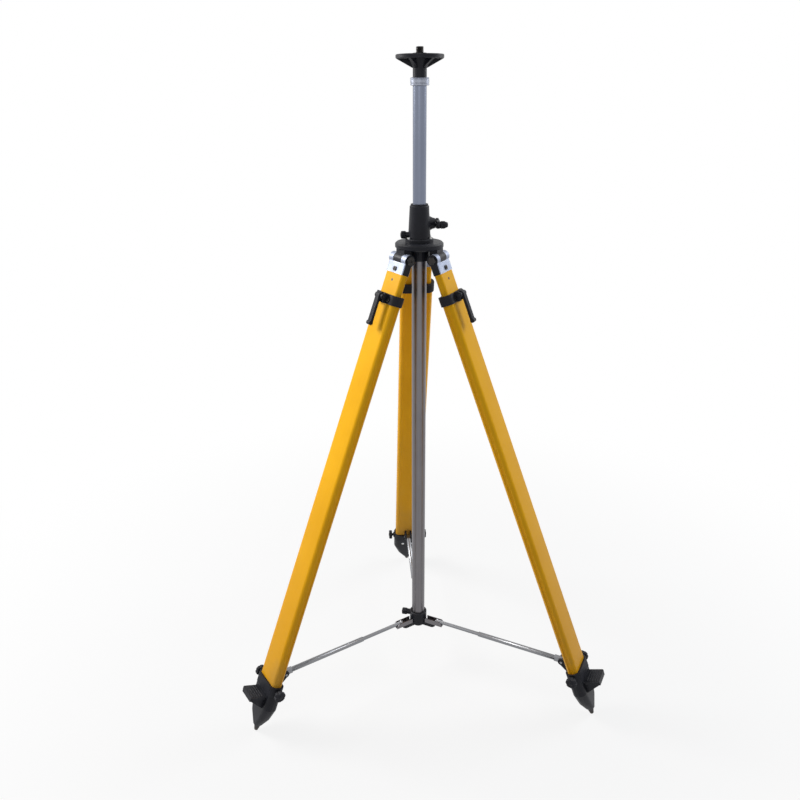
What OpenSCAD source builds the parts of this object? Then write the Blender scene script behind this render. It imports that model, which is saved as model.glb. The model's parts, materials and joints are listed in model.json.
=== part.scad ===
// Elevating tripod for surveying instruments: three sliding legs, a geared column with a crank,
// and a lower spreader. Millimetres, +Z up, standing on the ground at Z = 0.

/* [Stance] */
// Height of the platform's top over the ground
platform_top_z = 1100; // [900:5:1400]
// Distance of each spike tip from the column axis
foot_radius = 464; // [380:2:560]
// Distance of each leg hinge from the column axis
hinge_radius = 45; // [40:1:60]
// Depth of the leg hinges below the platform's top
hinge_drop = 32; // [30:1:45]

/* [Outer leg] */
// Width of the outer leg
outer_leg_w = 74; // [62:1:90]
// Thickness of the outer leg
outer_leg_t = 25; // [22:0.5:34]
// Wall of the outer leg
outer_leg_wall = 3.2; // [2:0.1:4]
// Corner radius of the outer leg, as a share of its thickness
leg_corner_share = 0.44; // [0.2:0.02:0.48]
// Width of the groove along each side
groove_w = 7; // [4:0.5:10]
// Depth of the groove along each side
groove_d = 1.6; // [0.8:0.1:1.8]

/* [Inner leg] */
// Gap round the inner leg inside the outer leg
leg_slide_gap = 0.8; // [0.4:0.1:1.2]
// Wall of the inner leg
inner_leg_wall = 2.4; // [1.6:0.1:3]
// Room under the inner leg inside the outer leg
inner_leg_room = 140; // [100:5:360]
// Distance from the hinge down to the inner leg's top
inner_leg_drop = 32; // [28:1:60]

/* [Hinge bracket] */
// Radius of the barrel round the hinge bolt
barrel_r = 12.5; // [10:0.5:14]
// Radius of the hinge bolt
hinge_bolt_r = 5; // [4:0.5:6]
// Length of the tongue inside the inner leg
tongue_len = 30; // [20:1:60]
// Radius of the bracket screws
bracket_screw_r = 3; // [2:0.5:4]

/* [Clamp collar] */
// Distance from the hinge down to the collar's top
collar_drop = 78; // [70:1:120]
// Height of the collar
collar_h = 21; // [16:1:40]
// Wall of the collar
collar_wall = 3.4; // [3:0.2:8]
// Width of the lever block on the collar
lever_block_w = 28; // [22:1:44]
// Radius of the lever's cam
cam_r = 8.5; // [7:0.5:10]
// Length of the lever from its pin to its tip
lever_len = 66; // [50:1:90]
// Width of the lever
lever_w = 13; // [10:1:22]
// Thickness of the lever's arm
lever_t = 6; // [4:0.5:8]

/* [Foot] */
// Length of the shoe with its spike
shoe_len = 112; // [96:1:140]
// Wall of the shoe's socket
shoe_wall = 4; // [3:0.2:6]
// Depth of the leg in the socket
socket_depth = 30; // [24:1:44]
// Radius of the spike at the shoe
spike_r = 8.5; // [6:0.5:10]
// Radius of the spike's rounded tip
spike_tip_r = 5; // [2:0.5:6]
// Visible length of the spike
spike_len = 18; // [12:1:40]
// Reach of the pedal from the leg's axis
pedal_reach = 54; // [46:1:66]
// Width of the pedal
pedal_w = 50; // [40:1:64]
// Thickness of the pedal
pedal_t = 6; // [5:0.5:10]
// Height of the pedal's front lip
pedal_lip_h = 11; // [8:1:22]

/* [Strut] */
// Diameter of the strut tube
strut_d = 12; // [10:0.5:18]
// Wall of the strut tube
strut_wall = 1.4; // [1:0.1:2]
// Distance of the struts' inner ends from the column axis
strut_inner_r = 50; // [46:1:60]
// Travel of the rod into the strut tube
strut_slide = 110; // [90:1:125]
// Distance of the strut pivot inside the leg's axis
strut_offset = 30; // [27:0.5:38]
// Radius of the strut's pivot pin
strut_pin_r = 3; // [2.5:0.5:4]
// Thickness of the strut's eye
strut_eye_t = 10; // [8:0.5:12]

/* [Strut saddle] */
// Height of the saddle
saddle_h = 24; // [20:1:40]
// Wall of the saddle
saddle_wall = 4.4; // [3:0.2:8]
// Radius of a saddle knob
saddle_knob_r = 13; // [10:0.5:20]
// Thickness of a saddle knob
saddle_knob_t = 9; // [6:0.5:14]
// Length of the stem between saddle and knob
saddle_knob_stem = 4; // [3:0.5:10]
// Height of the strut's pivot over the saddle's upper edge
strut_rise = 14; // [10:1:20]

/* [Guide tube and hub] */
// Diameter of the guide tube
guide_d = 32; // [30:0.5:42]
// Height of the hub's underside over the ground
hub_z = 108; // [100:1:112]
// Height of the hub
hub_h = 40; // [34:1:56]
// Wall of the hub round the guide tube
hub_wall = 5.5; // [4:0.5:9]
// Reach of the strut cradles from the column axis
cradle_reach = 70; // [66:1:90]
// Wall of the strut cradles
cradle_wall = 2; // [1.5:0.1:3]

/* [Platform] */
// Radius of the platform disc
platform_r = 52; // [50:1:70]
// Thickness of the platform disc
platform_t = 13; // [11:0.5:16]
// Width of each hinge lug
lug_w = 30; // [20:1:40]
// Radius of the centre boss under the platform
boss_r = 22; // [20:0.5:28]

/* [Column] */
// Diameter of the column tube
column_d = 28; // [26:0.5:30]
// Wall of the column tube
column_wall = 2.5; // [2:0.1:3]
// Length of the column tube
column_len = 640; // [560:5:800]
// Height of the plate's top over the platform
plate_rise = 366; // [260:1:420]
// Travel of the column upwards from here
column_up = 240; // [100:5:300]
// Diameter of the collar under the head
column_collar_d = 38; // [34:1:44]
// Height of the collar under the head
column_collar_h = 15; // [10:1:24]

/* [Mounting plate] */
// Radius of the mounting plate
plate_r = 48; // [40:1:65]
// Thickness of the plate's rim
plate_rim_t = 8; // [6:0.5:12]
// Depth of the plate with its neck
plate_depth = 42; // [36:1:60]
// Radius of the neck
neck_r = 14; // [12:0.5:18]
// Radius of the instrument stud, 5/8 inch
stud_r = 7.9375; // [4:0.0005:8]
// Height of the stud over the plate
stud_h = 14; // [10:0.5:20]

/* [Gear housing] */
// Radius of the housing
housing_r = 24; // [22:0.5:30]
// Radius of the housing at its mouth
housing_mouth_r = 20.5; // [19.5:0.5:26]
// Height of the housing over the platform
housing_h = 76; // [66:1:100]
// Height of the crank shaft over the platform
shaft_rise = 35; // [34:0.5:44]
// Module of the gear teeth
gear_module = 1.5; // [1.25:0.25:1.75]
// Number of teeth of the pinion
pinion_teeth = 12; // [11:1:13]
// Width of the rack and the pinion
gear_w = 8; // [6:0.5:9]
// Radius of the crank shaft
shaft_r = 4; // [3:0.5:5]

/* [Crank] */
// Distance from the column axis to the crank arm
crank_reach = 37; // [35:0.5:44]
// Radius of the crank
crank_r = 24; // [20:0.5:27]
// Thickness of the crank arm
crank_t = 6; // [5:0.5:8]
// Radius of the crank knob
crank_knob_r = 7.5; // [6:0.5:9]
// Length of the crank knob
crank_knob_len = 17; // [12:0.5:40]

/* [Hidden] */
$fn = 48;
hull_fn = 32;
legs = 3;
leg_first = 90;
leg_step = 360 / legs;
half_step = leg_step / 2;
overrun = 1;
seat_gap = 0.02;
turn_gap = 0.05;
move_gap = 0.4;
strut_gap = 0.5;
rod_gap = 0.1;

// Colours of the finishes
yellow = [0.95, 0.66, 0.08];
black = [0.08, 0.08, 0.09];
silver = [0.78, 0.79, 0.81];
steel = [0.62, 0.64, 0.67];

// Leg line: the hinge on the head, the ball of the spike's tip on the ground
hinge_z = platform_top_z - hinge_drop;
splay = atan2(foot_radius - hinge_radius, hinge_z - spike_tip_r);
leg_len = (hinge_z - spike_tip_r) / cos(splay) + spike_tip_r;

// Inner leg and bracket, from the outer leg inwards
outer_leg_corner = outer_leg_t * leg_corner_share;
inner_leg_w = outer_leg_w - 2 * outer_leg_wall - 2 * leg_slide_gap;
inner_leg_t = outer_leg_t - 2 * outer_leg_wall - 2 * leg_slide_gap;
inner_leg_corner = outer_leg_corner - outer_leg_wall;
tongue_w = inner_leg_w - 2 * inner_leg_wall - 2 * seat_gap;
tongue_t = inner_leg_t - 2 * inner_leg_wall - 2 * seat_gap;
bracket_t = inner_leg_t + 2;
bracket_corner = 3;
bracket_pocket_w = inner_leg_w / 2;
bracket_pocket_top = barrel_r + 2;
bracket_pocket_bottom = inner_leg_drop - 4;
bracket_rib_t = 6;
bracket_screw_drop = inner_leg_drop + tongue_len / 2;
bracket_bolt_drop = inner_leg_drop - 9;
screw_head_r = bracket_screw_r * 1.7;
screw_head_h = bracket_screw_r * 0.8;

// Clamp collar and lever
collar_in_w = outer_leg_w + 2 * seat_gap;
collar_in_t = outer_leg_t + 2 * seat_gap;
collar_w = collar_in_w + 2 * collar_wall;
collar_t = collar_in_t + 2 * collar_wall;
collar_corner = outer_leg_corner + collar_wall;
collar_lip = 3;
outer_leg_top = collar_drop + collar_lip;
lever_pin_r = 2.5;
lever_pin_u = collar_t / 2 + cam_r + move_gap;
lever_pin_drop = collar_drop + cam_r;
lever_slot_w = lever_w + 2 * move_gap;
lever_slot_u = collar_t / 2 - collar_wall / 4;
lever_block_u = lever_pin_u + lever_pin_r * 2.4;
lever_tip_r = lever_t * 0.8;
collar_bolt_r = 2.5;
collar_bolt_drop = collar_drop + (collar_lip + collar_h) / 2;
collar_bolt_v = (collar_w / 2 + lever_block_w / 2 - collar_corner) / 2;

// Shoe, pedal and spike
shoe_top = leg_len - shoe_len;
socket_w = outer_leg_w + 2 * seat_gap;
socket_t = outer_leg_t + 2 * seat_gap;
shoe_w = socket_w + 2 * shoe_wall;
shoe_t = socket_t + 2 * shoe_wall;
shoe_corner = outer_leg_corner + shoe_wall;
outer_leg_bottom = shoe_top + socket_depth;
inner_leg_end = outer_leg_bottom - inner_leg_room;
shoe_floor = outer_leg_bottom + 5;
spike_top = leg_len - spike_len;
spike_root = 22;
shoe_nose_r = spike_r + 2.5;
shoe_waist_share = 0.55;
shoe_waist_w_share = 0.7;
shoe_waist_t_share = 0.9;
pedal_drop = shoe_top + 6;
pedal_corner = 4;
gusset_t = 6;
shoe_slab = 1;

// Saddle that rides on the outer leg just above the shoe
saddle_bottom = shoe_top - 1;
saddle_top = saddle_bottom - saddle_h;
saddle_in_w = outer_leg_w + 2 * move_gap;
saddle_in_t = outer_leg_t + 2 * move_gap;
saddle_w = saddle_in_w + 2 * saddle_wall;
saddle_t = saddle_in_t + 2 * saddle_wall;
saddle_corner = outer_leg_corner + saddle_wall;
saddle_mid = (saddle_top + saddle_bottom) / 2;
saddle_screw_r = 4;
saddle_hub_r = 8;
knob_lobes = 6;
knob_lobe_r = saddle_knob_r * 0.3;
knob_edge = 1.5;
strut_ear_r = strut_pin_r + 5;
strut_ear_t = 5;
strut_pivot_drop = saddle_top - strut_rise;
ear_depth = strut_offset - saddle_in_t / 2 - overrun;
ear_drop = strut_rise + saddle_h - knob_edge;
strut_slot_w = strut_eye_t + 2 * move_gap;

// Strut line: level from its pivot on the saddle to its cradle on the hub
strut_pivot_r = hinge_radius + strut_pivot_drop * sin(splay) - strut_offset * cos(splay);
strut_z = hinge_z - strut_pivot_drop * cos(splay) - strut_offset * sin(splay);
strut_eye_r = strut_d / 2;
strut_neck = 12;
strut_out_r = strut_pivot_r - strut_eye_r - strut_neck;
rod_d = strut_d - 2 * strut_wall - 2 * rod_gap;
rod_cap_t = 6;
rod_stop = 2;
rod_lap = 50;
strut_in_r = strut_inner_r + rod_cap_t + strut_slide + rod_stop;
rod_out_r = strut_in_r + rod_lap;
strut_pin_len = strut_slot_w + 2 * strut_ear_t + 3;

// Hub, cradles and guide tube
guide_wall = (guide_d - column_d) / 2 - move_gap;
guide_top_z = platform_top_z - 1;
hub_floor = 5;
hub_r = guide_d / 2 + hub_wall;
hub_edge = 7;
guide_bottom_z = hub_z + hub_floor;
cradle_in_w = strut_d + 2 * strut_gap;
cradle_w = cradle_in_w + 2 * cradle_wall;
cradle_floor_z = strut_z - strut_d / 2 - move_gap - cradle_wall;
cradle_top_z = strut_z + 3;
cradle_start = hub_r + 1.5;
arm_h = 9;
arm_end = cradle_reach - 22;
arm_rivet_r = 2.5;
hub_knob_az = 165;
hub_knob_z = hub_z + hub_h - 9;
hub_screw_r = 3;
hub_boss_r = 7;
hub_boss_reach = hub_r + 7;
hub_knob_r = 8.5;
hub_knob_len = 13;
hub_knob_flutes = 10;

// Platform and its hinge lugs
platform_z = platform_top_z - platform_t;
platform_edge = 3;
bracket_w = inner_leg_w - 4;
fork_w = lug_w + 2 * move_gap;
hinge_bolt_len = bracket_w + 2 * move_gap;
boss_h = 26;
boss_z = platform_z - boss_h;
bolt_head_r = hinge_bolt_r * 1.7;
bolt_head_h = hinge_bolt_r * 0.7;
platform_web_r = hinge_radius - barrel_r - 8;
platform_web_t = 6;

// Column, rack and pinion
column_r = column_d / 2;
plate_top_z = platform_top_z + plate_rise;
neck_bottom_z = plate_top_z - plate_depth;
column_collar_z = neck_bottom_z - column_collar_h;
column_bottom_z = neck_bottom_z - column_len;
neck_plug = 26;
tooth_angle = 25;
tooth_pitch = PI * gear_module;
tooth_play = 0.12;
tooth_add_share = 0.9;
tooth_ded_share = 1.2;
tooth_add = gear_module * tooth_add_share;
tooth_ded = gear_module * tooth_ded_share;
rack_inset = 0.8;
rack_tip_y = column_r - rack_inset;
rack_pitch_y = rack_tip_y - tooth_add;
rack_root_y = rack_pitch_y - tooth_ded;
rack_back_y = rack_root_y - 5;
pinion_r = gear_module * pinion_teeth / 2;
pinion_y = rack_pitch_y + pinion_r;
shaft_z = platform_top_z + shaft_rise;
rack_margin = 5;
bush_lip_h = 3;
column_down = plate_rise - plate_depth - column_collar_h - housing_h - bush_lip_h - rack_margin;
rack_above = ceil((column_down + rack_margin) / tooth_pitch);
rack_below = ceil((column_up + rack_margin) / tooth_pitch);
rack_top_z = shaft_z + (rack_above + 0.5) * tooth_pitch;
rack_bottom_z = shaft_z - (rack_below + 0.5) * tooth_pitch;
slot_gap = 0.1;

// Housing, bush and knobs on it
bore_r = column_r + move_gap;
housing_z = platform_top_z;
housing_top_z = housing_z + housing_h;
housing_edge = 4;
flange_r = housing_r + 6;
flange_h = 8;
case_r = pinion_r + tooth_add + 5;
case_half_w = gear_w / 2 + 10;
pocket_r = pinion_r + tooth_add + 0.8;
pocket_half_w = gear_w / 2 + 1;
crank_boss_r = 10;
crank_boss_root_r = 17;
crank_boss_end = crank_reach - 1;
shaft_left = case_half_w - 3;
bush_r = column_r + 3;
bush_h = 16;
bush_lip_r = bush_r + 1.5;
housing_screw_r = 2;
housing_screw_pcr = housing_r + 2.6;
housing_screw_head_r = 3.4;
housing_screws_at = [30, 150, 210, 330];
lock_z = housing_z + 15;
lock_screw_r = 3;
lock_boss_r = 6;
lock_boss_reach = housing_r + 4;
lock_knob_r = 8;
lock_knob_len = 11;
lock_knob_flutes = 10;

// Crank
crank_hub_r = 11;
crank_end_r = 8;
crank_pin_r = 3;
crank_pin_head = 2;
crank_cap_h = 3;
shaft_end = crank_reach + crank_t + crank_cap_h;

// Mounting plate
plate_boss_r = 13;
plate_boss_h = 2.5;
plate_edge = 1.5;
plate_cone_r = plate_r * 0.62;
plate_cone_h = plate_depth * 0.6;
plate_ribs = 6;
plate_rib_t = 5;
stud_root = 20;
stud_root_share = 0.8;
stud_root_r = stud_r * stud_root_share;
stud_edge = 1.2;

// The pedal's corners set the footprint, which is centred on the origin
pedal_u = pedal_reach * cos(splay) + pedal_drop * sin(splay) + hinge_radius;
rear_reach = pedal_u;
front_reach = (pedal_u - pedal_corner) * cos(half_step)
    + (pedal_w / 2 - pedal_corner) * sin(half_step) + pedal_corner;
footprint_y = (rear_reach - front_reach) / 2;

// Helpers: frames

// Moves the column axis so that the footprint is centred on the origin.
module on_site() {
    translate([0, -footprint_y, 0]) children();
}

// Turns +X to the outward direction of a leg: the first leg stands at the back.
module leg_plane(i) {
    rotate([0, 0, leg_first + (i - 1) * leg_step]) children();
}

// Leg frame: hinge at the origin, leg down along -Z, +X out of the leg's outer face.
module leg_frame(i) {
    leg_plane(i) translate([hinge_radius, 0, hinge_z]) rotate([0, -splay, 0]) children();
}

// Lays a shape drawn along +Z along +Y instead, with its middle at the origin.
module across(len) {
    rotate([-90, 0, 0]) translate([0, 0, -len / 2]) children();
}

// Lays a shape drawn along +Z along +X.
module along_x() {
    rotate([0, 90, 0]) children();
}

// Helpers: shapes

module round_rect(size, r) {
    square([size.x - 2 * r, size.y], center = true);
    square([size.x, size.y - 2 * r], center = true);
    for (sx = [-1, 1], sy = [-1, 1])
        translate([sx * (size.x / 2 - r), sy * (size.y / 2 - r)]) circle(r);
}

// Rounded bar between two drops down the leg.
module leg_bar(t, w, r, from, to) {
    translate([0, 0, -to]) linear_extrude(to - from) round_rect([t, w], r);
}

module leg_hole(t, w, r, from, to) {
    leg_bar(t, w, r, from - overrun, to + overrun);
}

module ring(r_out, r_in, h) {
    difference() {
        cylinder(r = r_out, h = h);
        translate([0, 0, -overrun]) cylinder(r = r_in, h = h + 2 * overrun);
    }
}

// Knob with a scalloped rim and broken edges, drawn along +Z.
module fluted_knob(r, h, flutes, flute_r, edge) {
    difference() {
        rotate_extrude() polygon([[0, 0], [r - edge, 0], [r, edge], [r, h - edge], [r - edge, h], [0, h]]);
        for (k = [0 : flutes - 1])
            rotate([0, 0, k * 360 / flutes]) translate([r + flute_r * 0.45, 0, -overrun])
                cylinder(r = flute_r, h = h + 2 * overrun, $fn = 24);
    }
}

// Screw head with a hexagon recess, drawn along +Z from the seat.
module socket_head(r, h) {
    difference() {
        cylinder(r = r, h = h);
        translate([0, 0, h / 2]) cylinder(r = r / 2, h = h, $fn = 6);
    }
}

// Helpers: gear teeth

function involute(base, t) = base * [cos(t) + t * sin(t) * PI / 180, sin(t) - t * cos(t) * PI / 180];
function turned(p, a) = [p.x * cos(a) - p.y * sin(a), p.x * sin(a) + p.y * cos(a)];
function polar_angle(p) = atan2(p.y, p.x);

// One side of a tooth that points along +X, from root to tip.
function tooth_side(base, root, tip, half) =
    let (t_tip = sqrt(pow(tip / base, 2) - 1) * 180 / PI,
         start = [max(root, 0), 0],
         steps = 8)
    concat([turned(start, -half)],
        [for (k = [0 : steps]) turned(involute(base, t_tip * k / steps), -half)]);

module pinion_profile() {
    base = pinion_r * cos(tooth_angle);
    root = pinion_r - tooth_ded;
    tip = pinion_r + tooth_add;
    // Half the tooth's angle at the base circle, thinned by the play
    t_pitch = tan(tooth_angle) * 180 / PI;
    half = 90 / pinion_teeth + polar_angle(involute(base, t_pitch)) - tooth_play / pinion_r * 180 / PI;
    circle(root);
    for (k = [0 : pinion_teeth - 1]) rotate(k * 360 / pinion_teeth) {
        side = tooth_side(base, root * 0.9, tip, half);
        mirrored = [for (j = [len(side) - 1 : -1 : 0]) [side[j].x, -side[j].y]];
        polygon(concat(side, mirrored));
    }
}

// Rack profile in the plane of the column's rear slot: x outward from the column, y up.
module rack_profile() {
    tip_half = tooth_pitch / 4 - tooth_add * tan(tooth_angle) - tooth_play;
    root_half = tooth_pitch / 4 + tooth_ded * tan(tooth_angle) - tooth_play;
    translate([rack_back_y, rack_bottom_z]) square([rack_root_y - rack_back_y, rack_top_z - rack_bottom_z]);
    for (k = [-rack_below : rack_above - 1])
        translate([0, shaft_z + (k + 0.5) * tooth_pitch])
            polygon([[rack_root_y - rack_inset, -root_half], [rack_root_y, -root_half],
                     [rack_tip_y, -tip_half], [rack_tip_y, tip_half],
                     [rack_root_y, root_half], [rack_root_y - rack_inset, root_half]]);
}

// Head

// Lug that a leg's forked bracket straddles.
module hinge_lug() {
    across(lug_w) cylinder(r = barrel_r, h = lug_w);
    translate([-barrel_r, -lug_w / 2, 0])
        cube([platform_r - platform_edge - hinge_radius + barrel_r, lug_w,
              platform_z - hinge_z + platform_edge]);
}

module head_casting() {
    color(black) difference() {
        union() {
            translate([0, 0, platform_z]) rotate_extrude()
                polygon([[0, 0], [platform_r - platform_edge, 0], [platform_r, platform_edge],
                         [platform_r, platform_t - platform_edge],
                         [platform_r - platform_edge, platform_t], [0, platform_t]]);
            translate([0, 0, boss_z]) cylinder(r = boss_r, h = boss_h + platform_edge);
            for (i = [1 : legs]) leg_plane(i) {
                translate([hinge_radius, 0, hinge_z]) hinge_lug();
                // Web between two legs
                rotate([0, 0, half_step]) translate([0, -platform_web_t / 2, boss_z + platform_edge])
                    cube([platform_web_r + platform_edge, platform_web_t, boss_h]);
            }
        }
        translate([0, 0, boss_z - overrun])
            cylinder(r = guide_d / 2 + seat_gap, h = guide_top_z - boss_z + overrun);
        translate([0, 0, boss_z]) cylinder(r = bore_r, h = boss_h + platform_t + overrun);
        for (i = [1 : legs]) leg_plane(i) translate([hinge_radius, 0, hinge_z])
            across(lug_w + 2 * overrun)
                cylinder(r = hinge_bolt_r + seat_gap, h = lug_w + 2 * overrun);
        for (a = housing_screws_at) rotate([0, 0, a])
            translate([housing_screw_pcr, 0, platform_z - overrun])
                cylinder(r = housing_screw_r + seat_gap, h = platform_t + 2 * overrun);
    }
}

module leg_hinge_bolts() {
    color(steel) for (i = [1 : legs]) leg_plane(i) translate([hinge_radius, 0, hinge_z]) {
        across(hinge_bolt_len) cylinder(r = hinge_bolt_r, h = hinge_bolt_len);
        translate([0, hinge_bolt_len / 2, 0]) rotate([-90, 0, 0]) socket_head(bolt_head_r, bolt_head_h);
        translate([0, -hinge_bolt_len / 2, 0]) rotate([90, 0, 0])
            cylinder(r = bolt_head_r, h = bolt_head_h, $fn = 6);
    }
}

module housing_shell() {
    translate([0, 0, housing_z]) rotate_extrude()
        polygon([[0, 0], [flange_r, 0], [flange_r, flange_h - knob_edge],
                 [flange_r - knob_edge, flange_h], [housing_r, flange_h],
                 [housing_mouth_r, housing_h - knob_edge], [housing_mouth_r - knob_edge, housing_h],
                 [0, housing_h]]);
    // Pinion case at the back, with a foot down to the platform
    translate([-case_half_w, pinion_y, shaft_z]) along_x() cylinder(r = case_r, h = 2 * case_half_w);
    translate([-case_half_w, 0, housing_z])
        cube([2 * case_half_w, pinion_y + case_r - housing_edge, shaft_rise]);
    translate([-case_half_w, 0, shaft_z - case_r]) cube([2 * case_half_w, pinion_y, 2 * case_r]);
    // Crank boss at the right
    translate([0, pinion_y, shaft_z]) along_x()
        cylinder(r1 = crank_boss_root_r, r2 = crank_boss_r, h = crank_boss_end);
    // Boss of the lock screw at the left
    translate([-lock_boss_reach, 0, lock_z]) along_x() cylinder(r = lock_boss_r, h = lock_boss_reach);
}

module gear_housing() {
    color(black) difference() {
        housing_shell();
        translate([0, 0, housing_z - overrun]) cylinder(r = bore_r, h = housing_h + 2 * overrun);
        translate([0, 0, housing_top_z - bush_h]) cylinder(r = bush_r + seat_gap, h = bush_h + overrun);
        translate([-pocket_half_w, pinion_y, shaft_z]) along_x()
            cylinder(r = pocket_r, h = 2 * pocket_half_w);
        translate([-shaft_left, pinion_y, shaft_z]) along_x()
            cylinder(r = shaft_r + turn_gap, h = shaft_left + crank_boss_end + overrun);
        translate([-lock_boss_reach - overrun, 0, lock_z]) along_x()
            cylinder(r = lock_screw_r + turn_gap, h = lock_boss_reach + overrun);
        for (a = housing_screws_at) rotate([0, 0, a])
            translate([housing_screw_pcr, 0, housing_z - overrun]) {
                cylinder(r = housing_screw_r + seat_gap, h = flange_h + 2 * overrun);
                translate([0, 0, flange_h + overrun])
                    cylinder(r = housing_screw_head_r + seat_gap, h = housing_h);
            }
    }
}

module housing_screws() {
    screw_len = flange_h + platform_t - platform_edge;
    color(steel) for (a = housing_screws_at) rotate([0, 0, a])
        translate([housing_screw_pcr, 0, housing_z + flange_h]) {
            translate([0, 0, -screw_len]) cylinder(r = housing_screw_r, h = screw_len);
            socket_head(housing_screw_head_r, housing_screw_head_r);
        }
}

module guide_bush() {
    color(black) difference() {
        translate([0, 0, housing_top_z - bush_h]) {
            cylinder(r = bush_r, h = bush_h);
            translate([0, 0, bush_h]) cylinder(r = bush_lip_r, h = bush_lip_h);
        }
        translate([0, 0, housing_top_z - bush_h - overrun])
            cylinder(r = column_r + turn_gap, h = bush_h + bush_lip_h + 2 * overrun);
    }
}

module guide_tube() {
    color(silver) translate([0, 0, guide_bottom_z])
        ring(guide_d / 2, guide_d / 2 - guide_wall, guide_top_z - guide_bottom_z);
}

// Spreader hub

module hub_body() {
    translate([0, 0, hub_z]) rotate_extrude()
        polygon([[0, 0], [hub_r - hub_edge, 0], [hub_r, hub_edge],
                 [hub_r, hub_h - knob_edge], [hub_r - knob_edge, hub_h], [0, hub_h]]);
    for (i = [1 : legs]) leg_plane(i) translate([0, -cradle_w / 2, cradle_floor_z - arm_h]) {
        cube([arm_end - cradle_w / 2, cradle_w, arm_h]);
        translate([arm_end - cradle_w / 2, cradle_w / 2, 0]) cylinder(r = cradle_w / 2, h = arm_h);
    }
    rotate([0, 0, hub_knob_az]) translate([0, 0, hub_knob_z]) along_x()
        cylinder(r = hub_boss_r, h = hub_boss_reach);
}

module spreader_hub() {
    color(black) difference() {
        hub_body();
        translate([0, 0, guide_bottom_z]) cylinder(r = guide_d / 2 + seat_gap, h = hub_h);
        rotate([0, 0, hub_knob_az]) translate([guide_d / 2, 0, hub_knob_z]) along_x()
            cylinder(r = hub_screw_r + turn_gap, h = hub_boss_reach);
        for (i = [1 : legs]) leg_plane(i)
            translate([arm_end - cradle_w / 2, 0, cradle_floor_z - arm_h - overrun])
                cylinder(r = arm_rivet_r + seat_gap, h = arm_h + 2 * overrun);
    }
}

module strut_cradles() {
    color(silver) for (i = [1 : legs]) leg_plane(i) {
        difference() {
            translate([cradle_start, -cradle_w / 2, cradle_floor_z])
                cube([cradle_reach - cradle_start, cradle_w, cradle_top_z - cradle_floor_z]);
            translate([cradle_start - overrun, -cradle_in_w / 2, cradle_floor_z + cradle_wall])
                cube([cradle_reach - cradle_start + 2 * overrun, cradle_in_w, cradle_top_z]);
            // Sloped mouth towards the strut
            translate([cradle_reach, 0, cradle_top_z]) rotate([0, 45, 0])
                cube([cradle_w / 2, cradle_w + overrun, cradle_w / 2], center = true);
        }
        translate([arm_end - cradle_w / 2, 0, cradle_floor_z - arm_h])
            cylinder(r = arm_rivet_r, h = arm_h + cradle_wall / 2);
    }
}

module hub_clamp_knob() {
    color(black) rotate([0, 0, hub_knob_az]) translate([0, 0, hub_knob_z]) {
        translate([guide_d / 2 + turn_gap, 0, 0]) along_x()
            cylinder(r = hub_screw_r, h = hub_boss_reach - guide_d / 2 + hub_knob_len / 2);
        translate([hub_boss_reach + move_gap, 0, 0]) along_x()
            fluted_knob(hub_knob_r, hub_knob_len, hub_knob_flutes, hub_knob_r / 4, knob_edge);
    }
}

// Column and mounting plate

module column_tube() {
    color(silver) difference() {
        translate([0, 0, column_bottom_z]) ring(column_r, column_r - column_wall, column_len);
        translate([-gear_w / 2 - slot_gap, 0, rack_bottom_z - slot_gap])
            cube([gear_w + 2 * slot_gap, column_d, rack_top_z - rack_bottom_z + 2 * slot_gap]);
    }
}

module column_rack() {
    foot_y = sqrt(pow(column_r - column_wall, 2) - pow(gear_w / 2 + column_wall, 2)) - slot_gap;
    color(steel) {
        rotate([90, 0, 90]) translate([0, 0, -gear_w / 2]) linear_extrude(gear_w) rack_profile();
        // Foot that bears on the inside of the tube beside the slot
        translate([-gear_w / 2 - column_wall, rack_back_y - column_wall, rack_bottom_z])
            cube([gear_w + 2 * column_wall, min(foot_y - rack_back_y, 0) + column_wall + overrun,
                  rack_top_z - rack_bottom_z]);
    }
}

module column_collar() {
    color(silver) translate([0, 0, column_collar_z]) difference() {
        rotate_extrude()
            polygon([[0, 0], [column_collar_d / 2 - knob_edge, 0], [column_collar_d / 2, knob_edge],
                     [column_collar_d / 2, column_collar_h - knob_edge],
                     [column_collar_d / 2 - knob_edge, column_collar_h], [0, column_collar_h]]);
        translate([0, 0, -overrun]) cylinder(r = column_r + seat_gap, h = column_collar_h + 2 * overrun);
    }
}

module mount_plate() {
    rim_z = plate_top_z - plate_rim_t;
    color(black) difference() {
        union() {
            translate([0, 0, rim_z]) rotate_extrude()
                polygon([[0, 0], [plate_r - plate_edge, 0], [plate_r, plate_edge],
                         [plate_r, plate_rim_t - plate_edge], [plate_r - plate_edge, plate_rim_t],
                         [0, plate_rim_t]]);
            translate([0, 0, plate_top_z]) cylinder(r = plate_boss_r, h = plate_boss_h);
            translate([0, 0, neck_bottom_z]) cylinder(r = neck_r, h = plate_depth - plate_edge);
            translate([0, 0, plate_top_z - plate_cone_h])
                cylinder(r1 = neck_r, r2 = plate_cone_r, h = plate_cone_h - plate_edge);
            translate([0, 0, neck_bottom_z - neck_plug])
                cylinder(r = column_r - column_wall - seat_gap, h = neck_plug + overrun);
            for (k = [0 : plate_ribs - 1]) rotate([90, 0, k * 360 / plate_ribs])
                translate([0, 0, -plate_rib_t / 2]) linear_extrude(plate_rib_t)
                    polygon([[0, rim_z + plate_edge], [plate_r - plate_edge, rim_z + plate_edge],
                             [plate_r - plate_edge, rim_z], [neck_r, plate_top_z - plate_cone_h],
                             [0, plate_top_z - plate_cone_h]]);
        }
        translate([0, 0, plate_top_z - stud_root])
            cylinder(r = stud_root_r + seat_gap, h = stud_root + plate_boss_h + overrun);
    }
}

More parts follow.
